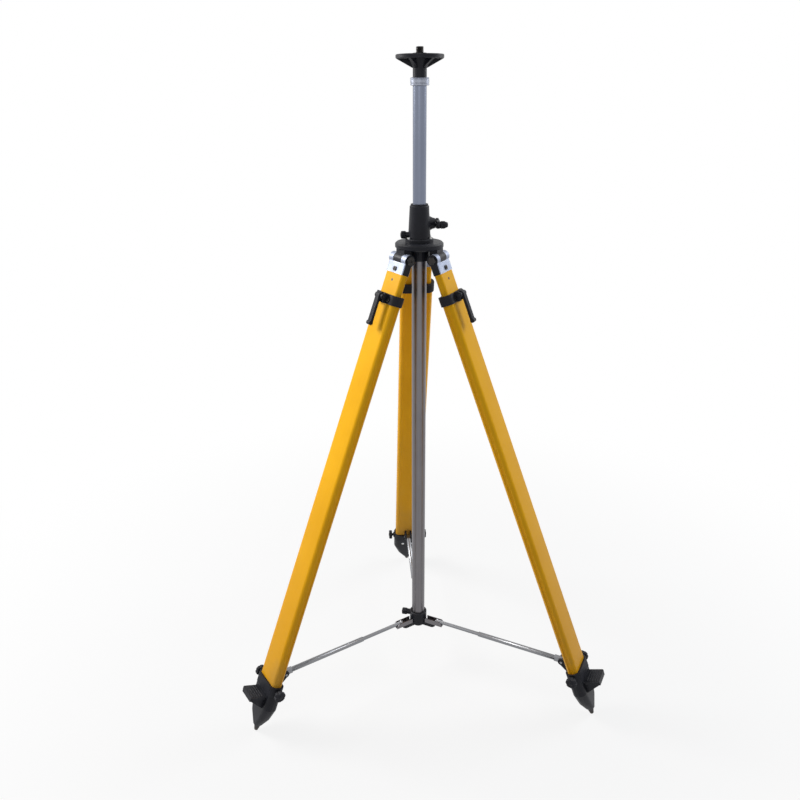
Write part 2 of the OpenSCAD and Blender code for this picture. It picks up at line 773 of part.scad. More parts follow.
module mount_stud() {
    color(steel) translate([0, 0, plate_top_z - stud_root]) rotate_extrude()
        polygon([[0, 0], [stud_root_r, 0], [stud_root_r, stud_root + plate_boss_h + seat_gap],
                 [stud_r, stud_root + plate_boss_h + seat_gap], [stud_r, stud_root + stud_h - stud_edge],
                 [stud_r - stud_edge, stud_root + stud_h], [0, stud_root + stud_h]]);
}

// Crank drive

module drive_pinion() {
    color(steel) translate([0, pinion_y, shaft_z]) {
        // A tooth points at the rack, towards -Y
        translate([-gear_w / 2, 0, 0]) rotate([90, 0, 90]) linear_extrude(gear_w) rotate(180)
            pinion_profile();
        translate([-shaft_left + turn_gap, 0, 0]) along_x()
            cylinder(r = shaft_r, h = shaft_left + crank_reach + crank_t);
    }
}

module crank_arm() {
    color(black) translate([crank_reach, pinion_y, shaft_z]) difference() {
        union() {
            along_x() cylinder(r = crank_hub_r, h = crank_t);
            translate([0, -crank_r, 0]) along_x() cylinder(r = crank_end_r, h = crank_t);
            translate([0, -crank_r, -crank_end_r]) cube([crank_t, crank_r, 2 * crank_end_r]);
            translate([crank_t, 0, 0]) along_x()
                cylinder(r1 = crank_hub_r - knob_edge, r2 = shaft_r + knob_edge, h = crank_cap_h);
            // Pin that carries the knob
            translate([0, -crank_r, 0]) along_x()
                cylinder(r = crank_pin_r, h = crank_t + crank_knob_len - crank_pin_head);
        }
        translate([-overrun, 0, 0]) along_x() cylinder(r = shaft_r + seat_gap, h = crank_t + overrun);
    }
}

module crank_knob() {
    color(black) translate([crank_reach + crank_t + move_gap, pinion_y - crank_r, shaft_z]) along_x()
        difference() {
            rotate_extrude()
                polygon([[0, 0], [crank_knob_r - knob_edge, 0], [crank_knob_r, knob_edge],
                         [crank_knob_r, crank_knob_len * 0.6], [crank_knob_r * 0.6, crank_knob_len],
                         [0, crank_knob_len]]);
            translate([0, 0, -overrun])
                cylinder(r = crank_pin_r + turn_gap, h = crank_knob_len - crank_pin_head + overrun);
        }
}

module column_lock_knob() {
    color(black) translate([0, 0, lock_z]) rotate([0, 0, 180]) {
        translate([column_r + turn_gap, 0, 0]) along_x()
            cylinder(r = lock_screw_r, h = lock_boss_reach - column_r + lock_knob_len / 2);
        translate([lock_boss_reach + move_gap, 0, 0]) along_x()
            fluted_knob(lock_knob_r, lock_knob_len, lock_knob_flutes, lock_knob_r / 4, knob_edge);
    }
}

// Legs

module hinge_bracket(i) {
    color(silver) leg_frame(i) difference() {
        union() {
            across(bracket_w) cylinder(r = barrel_r, h = bracket_w);
            leg_bar(bracket_t, bracket_w, bracket_corner, 0, inner_leg_drop);
            leg_bar(tongue_t, tongue_w, bracket_edge(), inner_leg_drop - overrun,
                inner_leg_drop + tongue_len);
        }
        across(bracket_w + 2 * overrun)
            cylinder(r = hinge_bolt_r + turn_gap, h = bracket_w + 2 * overrun);
        // Fork that straddles the head's lug
        across(fork_w) cylinder(r = barrel_r + move_gap, h = fork_w);
        translate([-bracket_t, -fork_w / 2, 0]) cube([2 * bracket_t, fork_w, 2 * barrel_r]);
        // Pocket in the inner face, with a rib left in the middle
        for (side = [-1, 1])
            translate([-bracket_t * 3 / 4, side * (bracket_pocket_w / 4 + bracket_rib_t / 2),
                       -(bracket_pocket_top + bracket_pocket_bottom) / 2])
                cube([bracket_t, bracket_pocket_w / 2, bracket_pocket_bottom - bracket_pocket_top],
                    center = true);
        translate([0, 0, -bracket_screw_drop]) along_x()
            cylinder(r = bracket_screw_r + seat_gap, h = bracket_t, center = true);
        translate([0, 0, -bracket_bolt_drop]) along_x()
            cylinder(r = bracket_screw_r + seat_gap, h = bracket_t);
    }
}

function bracket_edge() = max(inner_leg_corner - inner_leg_wall, 0.5);

module bracket_screws(i) {
    color(steel) leg_frame(i) {
        translate([0, 0, -bracket_bolt_drop]) {
            along_x() cylinder(r = bracket_screw_r, h = bracket_t / 2);
            translate([bracket_t / 2, 0, 0]) along_x() socket_head(screw_head_r, screw_head_h);
        }
        translate([-inner_leg_t / 2, 0, -bracket_screw_drop]) along_x()
            cylinder(r = bracket_screw_r, h = inner_leg_t);
    }
}

module inner_leg(i) {
    color(yellow) leg_frame(i) difference() {
        leg_bar(inner_leg_t, inner_leg_w, inner_leg_corner, inner_leg_drop, inner_leg_end);
        leg_hole(inner_leg_t - 2 * inner_leg_wall, inner_leg_w - 2 * inner_leg_wall, bracket_edge(),
            inner_leg_drop, inner_leg_end);
        translate([0, 0, -bracket_screw_drop]) along_x()
            cylinder(r = bracket_screw_r + seat_gap, h = 2 * inner_leg_t, center = true);
    }
}

module outer_leg(i) {
    color(yellow) leg_frame(i) difference() {
        leg_bar(outer_leg_t, outer_leg_w, outer_leg_corner, outer_leg_top, outer_leg_bottom);
        leg_hole(outer_leg_t - 2 * outer_leg_wall, outer_leg_w - 2 * outer_leg_wall,
            outer_leg_corner - outer_leg_wall, outer_leg_top, outer_leg_bottom);
        for (side = [-1, 1])
            translate([0, side * outer_leg_w / 2, -(outer_leg_top + outer_leg_bottom) / 2])
                cube([groove_w, 2 * groove_d, outer_leg_bottom - outer_leg_top + 2 * overrun],
                    center = true);
    }
}

module collar_block() {
    translate([0, 0, -collar_drop - collar_h]) {
        linear_extrude(collar_h) round_rect([collar_t, collar_w], collar_corner);
        translate([lever_slot_u, -lever_block_w / 2, 0])
            cube([lever_pin_u - lever_slot_u, lever_block_w, collar_h]);
    }
    translate([lever_pin_u, 0, -lever_pin_drop]) across(lever_block_w)
        cylinder(r = lever_pin_r * 2.4, h = lever_block_w);
}

module clamp_collar(i) {
    color(black) leg_frame(i) difference() {
        collar_block();
        leg_hole(inner_leg_t + 2 * leg_slide_gap, inner_leg_w + 2 * leg_slide_gap, inner_leg_corner,
            collar_drop, collar_drop + collar_h);
        leg_hole(collar_in_t, collar_in_w, outer_leg_corner, outer_leg_top + overrun,
            collar_drop + collar_h);
        // Slot for the lever's cam
        translate([lever_slot_u, -lever_slot_w / 2, -collar_drop - collar_h - overrun])
            cube([lever_block_u, lever_slot_w, collar_h + 2 * overrun]);
        translate([lever_pin_u, 0, -lever_pin_drop]) across(2 * lever_block_w)
            cylinder(r = lever_pin_r + seat_gap, h = 2 * lever_block_w);
        for (side = [-1, 1])
            translate([0, side * collar_bolt_v, -collar_bolt_drop]) along_x()
                cylinder(r = collar_bolt_r + seat_gap, h = collar_t);
    }
}

module collar_bolts(i) {
    color(steel) leg_frame(i) {
        translate([lever_pin_u, 0, -lever_pin_drop]) across(lever_block_w)
            cylinder(r = lever_pin_r, h = lever_block_w);
        for (side = [-1, 1])
            translate([collar_in_t / 2, side * collar_bolt_v, -collar_bolt_drop]) along_x() {
                cylinder(r = collar_bolt_r, h = collar_wall);
                translate([0, 0, collar_wall]) socket_head(collar_bolt_r * 1.7, collar_bolt_r);
            }
    }
}

// Lever seen from the side: cam round the pin, arm down the leg, thumb tip turned outwards.
module lever_profile() {
    arm_u = cam_r - lever_t;
    circle(cam_r);
    translate([arm_u, -lever_len + lever_tip_r]) square([lever_t, lever_len - lever_tip_r]);
    translate([arm_u + lever_t - lever_tip_r * 0.4, -lever_len + lever_tip_r]) circle(lever_tip_r);
}

module clamp_lever(i) {
    color(black) leg_frame(i) translate([lever_pin_u, lever_w / 2, -lever_pin_drop]) rotate([90, 0, 0])
        linear_extrude(lever_w) difference() {
            lever_profile();
            circle(lever_pin_r + turn_gap);
        }
}

// Feet

module shoe_taper() {
    waist_drop = shoe_floor + (spike_top - shoe_floor) * shoe_waist_share;
    hull() {
        leg_bar(shoe_t, shoe_w, shoe_corner, shoe_floor - shoe_slab, shoe_floor, $fn = hull_fn);
        leg_bar(shoe_t * shoe_waist_t_share, shoe_w * shoe_waist_w_share,
            shoe_corner * shoe_waist_t_share, waist_drop - shoe_slab, waist_drop, $fn = hull_fn);
        translate([0, 0, -spike_top]) cylinder(r = shoe_nose_r, h = shoe_slab, $fn = hull_fn);
    }
}

module pedal() {
    translate([0, 0, -pedal_drop - pedal_t]) linear_extrude(pedal_t) difference() {
        round_rect([2 * pedal_reach, pedal_w], pedal_corner);
        translate([-pedal_reach, -pedal_w]) square([pedal_reach, 2 * pedal_w]);
    }
    translate([pedal_reach - pedal_t, -pedal_w / 2 + pedal_corner, -pedal_drop - pedal_lip_h])
        cube([pedal_t, pedal_w - 2 * pedal_corner, pedal_lip_h - overrun]);
    // Gussets under the pedal
    for (side = [-1, 1])
        translate([0, side * (pedal_w / 2 - pedal_corner - gusset_t / 2) + gusset_t / 2, 0])
            rotate([90, 0, 0]) linear_extrude(gusset_t)
                polygon([[0, -pedal_drop - overrun], [pedal_reach - pedal_t / 2, -pedal_drop - overrun],
                         [pedal_reach - pedal_t / 2, -pedal_drop - pedal_lip_h],
                         [shoe_t / 2, -shoe_floor - pedal_lip_h / 4], [0, -shoe_floor]]);
}

module foot_shoe(i) {
    color(black) leg_frame(i) difference() {
        union() {
            leg_bar(shoe_t, shoe_w, shoe_corner, shoe_top, shoe_floor);
            shoe_taper();
            pedal();
        }
        leg_bar(socket_t, socket_w, outer_leg_corner, shoe_top - overrun, outer_leg_bottom);
        translate([0, 0, -spike_top - overrun])
            cylinder(r = spike_r + seat_gap, h = spike_root + overrun);
    }
}

module foot_spike(i) {
    ball_z = -leg_len + spike_tip_r;
    color(steel) leg_frame(i) {
        translate([0, 0, -spike_top]) cylinder(r = spike_r, h = spike_root);
        translate([0, 0, ball_z])
            cylinder(r1 = spike_tip_r, r2 = spike_r, h = spike_len - spike_tip_r);
        translate([0, 0, ball_z]) sphere(spike_tip_r);
    }
}

// Saddles and struts

module saddle_ears() {
    for (side = [-1, 1])
        translate([-strut_offset, side * (strut_slot_w + strut_ear_t) / 2, -strut_pivot_drop]) {
            across(strut_ear_t) cylinder(r = strut_ear_r, h = strut_ear_t);
            translate([0, strut_ear_t / 2, 0]) rotate([90, 0, 0]) linear_extrude(strut_ear_t)
                polygon([[0, strut_ear_r], [ear_depth, strut_ear_r], [ear_depth, -ear_drop],
                         [strut_offset - saddle_t / 2, -ear_drop], [-strut_ear_r, 0]]);
        }
}

module strut_saddle(i) {
    color(black) leg_frame(i) difference() {
        union() {
            leg_bar(saddle_t, saddle_w, saddle_corner, saddle_top, saddle_bottom);
            saddle_ears();
            translate([0, 0, -saddle_mid]) across(saddle_w + saddle_wall)
                cylinder(r = saddle_hub_r, h = saddle_w + saddle_wall);
        }
        leg_hole(saddle_in_t, saddle_in_w, outer_leg_corner, strut_pivot_drop - strut_ear_r,
            saddle_bottom);
        translate([0, 0, -saddle_mid]) across(2 * saddle_w)
            cylinder(r = saddle_screw_r + turn_gap, h = 2 * saddle_w);
        translate([-strut_offset, 0, -strut_pivot_drop]) across(2 * strut_pin_len)
            cylinder(r = strut_pin_r + turn_gap, h = 2 * strut_pin_len);
    }
}

// Star knob whose screw bears on the leg's side.
module saddle_knob(i, side) {
    start = outer_leg_w / 2 + turn_gap;
    knob_at = (saddle_w + saddle_wall) / 2 + saddle_knob_stem;
    color(black) leg_frame(i) translate([0, 0, -saddle_mid]) rotate([side * -90, 0, 0]) {
        translate([0, 0, start]) cylinder(r = saddle_screw_r, h = knob_at - start + overrun);
        translate([0, 0, knob_at])
            fluted_knob(saddle_knob_r, saddle_knob_t, knob_lobes, knob_lobe_r, knob_edge);
    }
}

module saddle_knob_a(i) {
    saddle_knob(i, 1);
}

module saddle_knob_b(i) {
    saddle_knob(i, -1);
}

// Strut tube with a flat eye at its leg end, and the pivot pin in the eye.
module strut_tube(i) {
    color(silver) leg_plane(i) translate([0, 0, strut_z]) {
        difference() {
            union() {
                translate([strut_in_r, 0, 0]) along_x()
                    cylinder(r = strut_d / 2, h = strut_out_r - strut_in_r);
                translate([strut_pivot_r, 0, 0]) across(strut_eye_t)
                    cylinder(r = strut_eye_r, h = strut_eye_t);
                translate([strut_out_r - overrun, -strut_eye_t / 2, -strut_eye_r])
                    cube([strut_pivot_r - strut_out_r + overrun, strut_eye_t, 2 * strut_eye_r]);
            }
            translate([strut_in_r - overrun, 0, 0]) along_x()
                cylinder(r = strut_d / 2 - strut_wall, h = strut_out_r - strut_in_r);
            translate([strut_pivot_r, 0, 0]) across(2 * strut_eye_t)
                cylinder(r = strut_pin_r + seat_gap, h = 2 * strut_eye_t);
        }
        translate([strut_pivot_r, 0, 0]) across(strut_pin_len)
            cylinder(r = strut_pin_r, h = strut_pin_len);
    }
}

// Rod that slides in the strut tube; its head drops into the hub's cradle.
module strut_rod(i) {
    head_r = strut_d / 2;
    color(silver) leg_plane(i) translate([strut_inner_r, 0, strut_z]) along_x() {
        rotate_extrude()
            polygon([[0, 0], [head_r - knob_edge, 0], [head_r, knob_edge], [head_r, rod_cap_t - knob_edge],
                     [head_r - knob_edge, rod_cap_t], [0, rod_cap_t]]);
        cylinder(r = rod_d / 2, h = rod_out_r - strut_inner_r);
    }
}

// Assembly

on_site() {
    head_casting();
    gear_housing();
    guide_tube();
    guide_bush();
    housing_screws();
    leg_hinge_bolts();
    spreader_hub();
    strut_cradles();
    hub_clamp_knob();
    column_tube();
    column_rack();
    column_collar();
    mount_plate();
    mount_stud();
    drive_pinion();
    crank_arm();
    crank_knob();
    column_lock_knob();
    for (i = [1 : legs]) {
        hinge_bracket(i);
        bracket_screws(i);
        inner_leg(i);
        outer_leg(i);
        clamp_collar(i);
        collar_bolts(i);
        clamp_lever(i);
        foot_shoe(i);
        foot_spike(i);
        strut_saddle(i);
        saddle_knob_a(i);
        saddle_knob_b(i);
        strut_tube(i);
        strut_rod(i);
    }
}
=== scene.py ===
"""Looks of the elevating tripod: finishes for every solid, and the small work that the solids leave out.

Metres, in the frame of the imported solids. The column stands on COLUMN_AXIS, leg 1 points to the rear (+Y),
leg 2 to the front left and leg 3 to the front right.
"""

import json
import math

import bmesh
import bpy
from mathutils import Matrix, Vector


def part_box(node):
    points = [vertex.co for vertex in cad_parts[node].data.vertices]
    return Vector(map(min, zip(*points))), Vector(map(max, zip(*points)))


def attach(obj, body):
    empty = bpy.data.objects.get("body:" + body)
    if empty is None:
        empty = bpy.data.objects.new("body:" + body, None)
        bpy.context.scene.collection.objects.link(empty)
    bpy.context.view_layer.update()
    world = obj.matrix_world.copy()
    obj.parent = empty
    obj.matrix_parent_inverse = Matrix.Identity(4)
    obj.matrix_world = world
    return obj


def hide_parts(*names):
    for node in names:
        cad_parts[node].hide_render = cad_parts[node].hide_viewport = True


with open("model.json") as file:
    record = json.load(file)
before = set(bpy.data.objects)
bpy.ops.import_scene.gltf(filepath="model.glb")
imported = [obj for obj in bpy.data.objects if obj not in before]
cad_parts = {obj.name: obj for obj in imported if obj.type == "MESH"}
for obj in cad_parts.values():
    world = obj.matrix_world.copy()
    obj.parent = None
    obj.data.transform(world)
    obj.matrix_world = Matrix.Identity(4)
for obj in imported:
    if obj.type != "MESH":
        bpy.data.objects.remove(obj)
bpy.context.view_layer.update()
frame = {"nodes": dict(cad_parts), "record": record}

# Measures of the solids that the added work sits on

LEGS = (1, 2, 3)
RECORD = frame["record"]
JOINTS = {joint["name"]: joint for joint in RECORD["behaviour"]["joints"]}
BODY_OF_NODE = {node: body for body, nodes in RECORD["behaviour"]["bodies"].items() for node in nodes}
SLOT_OF_NODE = {row["node"]: row["material_slot"] for row in RECORD["subparts"]}

HINGES = [Vector(JOINTS[f"leg_fold_{leg}"]["pos_m"]) for leg in LEGS]
HINGE_HEIGHT = HINGES[0].z
COLUMN_AXIS = sum(HINGES, Vector()) / len(LEGS) - Vector((0, 0, HINGE_HEIGHT))
HINGE_RADIUS = (HINGES[0] - COLUMN_AXIS).xy.length
SPLAY = math.acos(-JOINTS["leg_extend_1"]["axis"][2])
TIP_RADIUS = 0.005
LEG_LENGTH = (HINGE_HEIGHT - TIP_RADIUS) / math.cos(SPLAY) + TIP_RADIUS
SHOE_HEIGHT = 0.112
SHOE_TOP = LEG_LENGTH - SHOE_HEIGHT
PEDAL_BELOW_SHOE_TOP = 0.006


def azimuth(leg):
    """Direction of a leg round the column."""
    return math.radians(90 + 120 * (leg - 1))


def upright(turn=0.0, height=0.0):
    """Place on the column axis, turned about it."""
    return Matrix.Translation(COLUMN_AXIS + Vector((0, 0, height))) @ Matrix.Rotation(turn, 4, "Z")


def on_leg(leg):
    """Place at a leg's hinge: X out from the leg's face, Y across it, Z up along it."""
    hinge = Matrix.Translation((HINGE_RADIUS, 0, HINGE_HEIGHT)) @ Matrix.Rotation(-SPLAY, 4, "Y")
    return upright(azimuth(leg)) @ hinge


# Finishes


class Flow:
    """A value inside a finish. Plain sums on it add the nodes that work them out."""

    def __init__(self, finish, socket):
        self.finish = finish
        self.socket = socket

    def worked(self, operation, first, second=0.0):
        return self.finish.node("ShaderNodeMath", {"operation": operation}, {0: first, 1: second})

    def __add__(self, other):
        return self.worked("ADD", self, other)

    def __radd__(self, other):
        return self.worked("ADD", other, self)

    def __sub__(self, other):
        return self.worked("SUBTRACT", self, other)

    def __rsub__(self, other):
        return self.worked("SUBTRACT", other, self)

    def __mul__(self, other):
        return self.worked("MULTIPLY", self, other)

    def ramp(self, low, high, bottom=0.0, top=1.0):
        """The value eased from bottom to top while it goes from low to high."""
        return self.finish.node(
            "ShaderNodeMapRange",
            {"interpolation_type": "SMOOTHSTEP"},
            {"Value": self, "From Min": low, "From Max": high, "To Min": bottom, "To Max": top},
        )


class Finish:
    """One finish of the tripod, built round a single surface shader."""

    def __init__(self, name):
        self.material = bpy.data.materials.new(name)
        self.material.use_nodes = True
        self.tree = self.material.node_tree
        self.tree.nodes.clear()
        self.shader = self.tree.nodes.new("ShaderNodeBsdfPrincipled")
        surface = self.tree.nodes.new("ShaderNodeOutputMaterial")
        self.tree.links.new(self.shader.outputs[0], surface.inputs["Surface"])

    def node(self, kind, settings=None, sockets=None, output=0):
        made = self.tree.nodes.new(kind)
        for name, value in (settings or {}).items():
            setattr(made, name, value)
        for name, value in (sockets or {}).items():
            self.feed(made.inputs[name], value)
        return Flow(self, made.outputs[output])

    def feed(self, socket, value):
        if isinstance(value, Flow):
            self.tree.links.new(value.socket, socket)
        else:
            socket.default_value = value

    def wear(self, **sockets):
        """Sets or links the shader's own sockets, underscores standing for spaces."""
        for name, value in sockets.items():
            self.feed(self.shader.inputs[name.replace("_", " ")], value)
        return self.material

    def place(self, centre=(0, 0, 0)):
        """Object coordinates from a centre."""
        at = self.node("ShaderNodeTexCoord", output="Object")
        return self.node("ShaderNodeVectorMath", {"operation": "SUBTRACT"}, {0: at, 1: centre})

    def rotated(self, at, axis, angle):
        settings = {"rotation_type": axis + "_AXIS"}
        return self.node("ShaderNodeVectorRotate", settings, {"Vector": at, "Angle": angle})

    def stretched(self, at, scale):
        return self.node("ShaderNodeMapping", None, {0: at, "Scale": scale})

    def grain(self, at, scale, detail=3.0, roughness=0.5):
        sockets = {"Vector": at, "Scale": scale, "Detail": detail, "Roughness": roughness}
        return self.node("ShaderNodeTexNoise", None, sockets, "Fac")

    def part(self, vector, axis):
        return self.node("ShaderNodeSeparateXYZ", None, {0: vector}, axis)

    def blend(self, share, first, second):
        return self.node("ShaderNodeMix", {"data_type": "RGBA"}, {0: share, 6: first, 7: second}, 2)

    def edges(self, radius):
        """Share that is one on edges and corners and zero on flats."""
        rounded = self.node("ShaderNodeBevel", {"samples": 6}, {"Radius": radius})
        true = self.node("ShaderNodeNewGeometry", output="Normal")
        dot = {"operation": "DOT_PRODUCT"}
        agree = self.node("ShaderNodeVectorMath", dot, {0: rounded, 1: true}, "Value")
        return (1.0 - agree).ramp(0.015, 0.16)

    def upward(self):
        """Share of a face that looks to the sky, where dust lies."""
        return self.part(self.node("ShaderNodeNewGeometry", output="Normal"), "Z").ramp(0.25, 0.95)

    def relief(self, height, depth, strength=1.0):
        sockets = {"Strength": strength, "Distance": depth, "Height": height}
        return self.node("ShaderNodeBump", None, sockets)


def leg_lacquer(leg):
    """Amber lacquer on drawn leg tube: faint draw lines, rubbed edges, dirty near the foot, and painted
    shade that darkens it towards the foot.
    """
    finish = Finish(f"leg_lacquer_{leg}")
    along = finish.place(COLUMN_AXIS)
    leant = finish.rotated(finish.rotated(along, "Z", -azimuth(leg)), "Y", SPLAY)
    lines = finish.grain(finish.stretched(leant, (900, 900, 6)), 1.0, 2.0)
    cloud = finish.grain(along, 9.0, 4.0)
    peel = finish.grain(along, 900.0, 2.0)
    scuff = finish.grain(finish.stretched(leant, (60, 60, 260)), 1.0, 6.0, 0.7)
    height = finish.part(along, "Z")
    dirt = height.ramp(0.40, 0.05) * cloud.ramp(0.42, 0.66) * 0.38
    rubbed = finish.edges(0.0022) * scuff.ramp(0.56, 0.72)
    tone = finish.blend(cloud.ramp(0.3, 0.7), (0.88, 0.440, 0.0085, 1), (0.94, 0.482, 0.0105, 1))
    streaked = finish.blend(lines.ramp(0.5, 0.8) * 0.16, tone, (0.70, 0.32, 0.006, 1))
    # painted shade: the lacquer darkens smoothly towards the foot, standing in for the lamp light falling
    # off lower down
    shaded_towards_foot = finish.blend(height.ramp(0.75, 0.12) * 0.46, streaked, (0.60, 0.265, 0.005, 1))
    soiled = finish.blend(dirt, shaded_towards_foot, (0.27, 0.19, 0.10, 1))
    bare = finish.blend(rubbed * 0.85, soiled, (0.62, 0.60, 0.56, 1))
    return finish.wear(
        Base_Color=bare,
        Metallic=rubbed * 0.8,
        Roughness=0.27 + lines * 0.10 + dirt * 0.7 + scuff.ramp(0.6, 0.8) * 0.14,
        Specular_IOR_Level=0.08,
        Coat_Weight=0.03,
        Coat_Roughness=0.12,
        Normal=finish.relief(lines * 0.5 + peel * 0.5, 0.00012, 0.35),
    )


def black_casting():
    """Satin black stove enamel on castings: fine orange peel, greyed edges, dust on what looks up."""
    finish = Finish("black_casting_enamel")
    at = finish.place()
    peel = finish.grain(at, 620.0, 3.0)
    blotch = finish.grain(at, 38.0, 5.0)
    chips = finish.grain(at, 420.0, 4.0, 0.7)
    dust = finish.upward() * blotch.ramp(0.38, 0.72) * 0.09
    worn = finish.edges(0.0016) * chips.ramp(0.5, 0.64)
    base = finish.blend(blotch.ramp(0.3, 0.7), (0.0086, 0.0092, 0.0132, 1), (0.0132, 0.0140, 0.0196, 1))
    grey = finish.blend(worn * 0.6, base, (0.16, 0.16, 0.165, 1))
    return finish.wear(
        Base_Color=finish.blend(dust, grey, (0.15, 0.15, 0.15, 1)),
        Roughness=0.34 + blotch * 0.16 + dust * 0.9,
        Specular_IOR_Level=0.16,
        Coat_Weight=0.04,
        Coat_Roughness=0.3,
        Normal=finish.relief(peel, 0.00022, 0.4),
    )


def black_moulding():
    """Moulded black nylon of knobs, levers and pedals: pebbled skin, a dull handled sheen."""
    finish = Finish("black_moulded_nylon")
    at = finish.place()
    sockets = {"Vector": at, "Scale": 1300.0}
    pebble = finish.node("ShaderNodeTexVoronoi", {"feature": "SMOOTH_F1"}, sockets, "Distance")
    blotch = finish.grain(at, 55.0, 4.0)
    dust = finish.upward() * blotch.ramp(0.4, 0.7) * 0.08
    handled = finish.edges(0.0018) * blotch.ramp(0.35, 0.6)
    base = finish.blend(blotch.ramp(0.3, 0.7), (0.0090, 0.0096, 0.0134, 1), (0.0142, 0.0148, 0.0202, 1))
    paled = finish.blend(handled * 0.4, base, (0.085, 0.085, 0.09, 1))
    return finish.wear(
        Base_Color=finish.blend(dust, paled, (0.14, 0.14, 0.14, 1)),
        Roughness=0.5 - handled * 0.16 + blotch * 0.12,
        Specular_IOR_Level=0.18,
        Normal=finish.relief(pebble, 0.00025, 0.45),
    )


def drawn_tube(name, dark, light, dull, leg=None):
    """Anodised drawn tube: fine lines along it, faint rub marks round it. A strut lies along its leg."""
    finish = Finish(name)
    at = finish.place(COLUMN_AXIS)
    fine, slow = 700, 4
    along, round_it = (fine, fine, slow), (25, 25, 900)
    if leg:
        at = finish.rotated(at, "Z", -azimuth(leg))
        along, round_it = (slow, fine, fine), (900, 25, 25)
    lines = finish.grain(finish.stretched(at, along), 1.0, 3.0)
    rings = finish.grain(finish.stretched(at, round_it), 1.0, 2.0)
    cloud = finish.grain(at, 11.0, 3.0)
    tone = finish.blend(cloud.ramp(0.25, 0.75) * 0.35 + lines.ramp(0.3, 0.75) * 0.55, dark, light)
    rub = rings.ramp(0.64, 0.8) * cloud.ramp(0.5, 0.62) * 0.14
    return finish.wear(
        Base_Color=finish.blend(rub, tone, (0.55, 0.56, 0.58, 1)),
        Metallic=1.0,
        Roughness=dull + lines * 0.10 - rub * 0.2,
        Normal=finish.relief(lines * 0.7 + rings * 0.3, 0.00008, 0.3),
    )


def turned_alloy():
    """Turned ring under the plate: bright alloy with fine tool rings."""
    finish = Finish("turned_alloy")
    at = finish.place(COLUMN_AXIS)
    rings = finish.grain(finish.stretched(at, (12, 12, 2600)), 1.0, 2.0)
    cloud = finish.grain(at, 60.0, 3.0)
    tone = finish.blend(cloud.ramp(0.3, 0.7), (0.25, 0.27, 0.33, 1), (0.32, 0.34, 0.40, 1))
    return finish.wear(
        Base_Color=finish.blend(rings.ramp(0.5, 0.75) * 0.3, tone, (0.17, 0.18, 0.22, 1)),
        Metallic=0.9,
        Roughness=0.34 + rings * 0.14,
        Normal=finish.relief(rings, 0.00008, 0.35),
    )


def blackened_steel():
    """Oil-blackened steel of the stud and the hinge bolts: near black, brown where it is worn."""
    finish = Finish("blackened_steel")
    at = finish.place()
    cloud = finish.grain(at, 120.0, 4.0)
    fine = finish.grain(at, 900.0, 3.0)
    worn = finish.edges(0.0008) * cloud.ramp(0.4, 0.62)
    tone = finish.blend(cloud.ramp(0.3, 0.7), (0.020, 0.020, 0.022, 1), (0.042, 0.038, 0.036, 1))
    return finish.wear(
        Base_Color=finish.blend(worn * 0.7, tone, (0.26, 0.25, 0.24, 1)),
        Metallic=0.85,
        Roughness=0.32 + fine * 0.16 - worn * 0.1,
        Normal=finish.relief(fine, 0.00008, 0.3),
    )


def face_rubber():
    """Rubber of the friction ring on the plate: dull, finely pitted, chalked by dust."""
    finish = Finish("friction_ring_rubber")
    at = finish.place()
    pits = finish.grain(at, 1500.0, 3.0, 0.6)
    chalk = finish.grain(at, 70.0, 4.0).ramp(0.45, 0.75) * 0.25
    return finish.wear(
        Base_Color=finish.blend(chalk, (0.016, 0.016, 0.017, 1), (0.12, 0.11, 0.10, 1)),
        Roughness=0.72 + pits * 0.18,
        Normal=finish.relief(pits, 0.0002, 0.5),
    )


def bare_casting():
    """Bead-blasted alloy of the hinge brackets: cast skin, bright rubbed edges, grime in the low spots, and
    a blue cast in its colours that is a painted sky reflection.
    """
    finish = Finish("bare_bracket_alloy")
    at = finish.place()
    skin = finish.grain(at, 480.0, 4.0, 0.6)
    blotch = finish.grain(at, 60.0, 4.0)
    bright = finish.edges(0.0018) * blotch.ramp(0.3, 0.6)
    # painted reflection: the blue cast of the bracket's colours stands in for the sky the alloy reflects
    base = finish.blend(blotch.ramp(0.3, 0.7), (0.27, 0.305, 0.40, 1), (0.35, 0.39, 0.49, 1))
    grimed = finish.blend(skin.ramp(0.52, 0.3) * 0.3, base, (0.15, 0.16, 0.19, 1))
    return finish.wear(
        Base_Color=finish.blend(bright * 0.6, grimed, (0.62, 0.65, 0.72, 1)),
        Metallic=0.6,
        Roughness=0.46 + skin * 0.14 - bright * 0.16,
        Normal=finish.relief(skin, 0.0003, 0.45),
    )


def zinc_plate():
    """Zinc plate on screws, bolts, pins and rods: clear with a faint straw and blue cast."""
    finish = Finish("zinc_plated_steel")
    at = finish.place()
    cloud = finish.grain(at, 90.0, 3.0)
    turned = finish.grain(at, 800.0, 3.0)
    tint = finish.blend(cloud.ramp(0.35, 0.65), (0.50, 0.52, 0.56, 1), (0.58, 0.56, 0.50, 1))
    return finish.wear(
        Base_Color=finish.blend(turned.ramp(0.55, 0.8) * 0.3, tint, (0.30, 0.30, 0.31, 1)),
        Metallic=0.95,
        Roughness=0.26 + cloud * 0.12 + turned * 0.08,
        Normal=finish.relief(turned, 0.00008, 0.3),
    )


def spike_steel():
    """Hardened spike: dark scale above, soiled at the tip."""
    finish = Finish("spike_steel")
    at = finish.place()
    scale = finish.grain(at, 210.0, 5.0, 0.6)
    soil = finish.part(at, "Z").ramp(0.022, 0.004) * scale.ramp(0.35, 0.65)
    base = finish.blend(scale.ramp(0.3, 0.7), (0.036, 0.036, 0.040, 1), (0.080, 0.080, 0.086, 1))
    return finish.wear(
        Base_Color=finish.blend(soil * 0.8, base, (0.085, 0.062, 0.042, 1)),
        Metallic=0.9 - soil * 0.7,
        Roughness=0.36 + scale * 0.2 + soil * 0.3,
        Normal=finish.relief(scale, 0.0002, 0.4),
    )


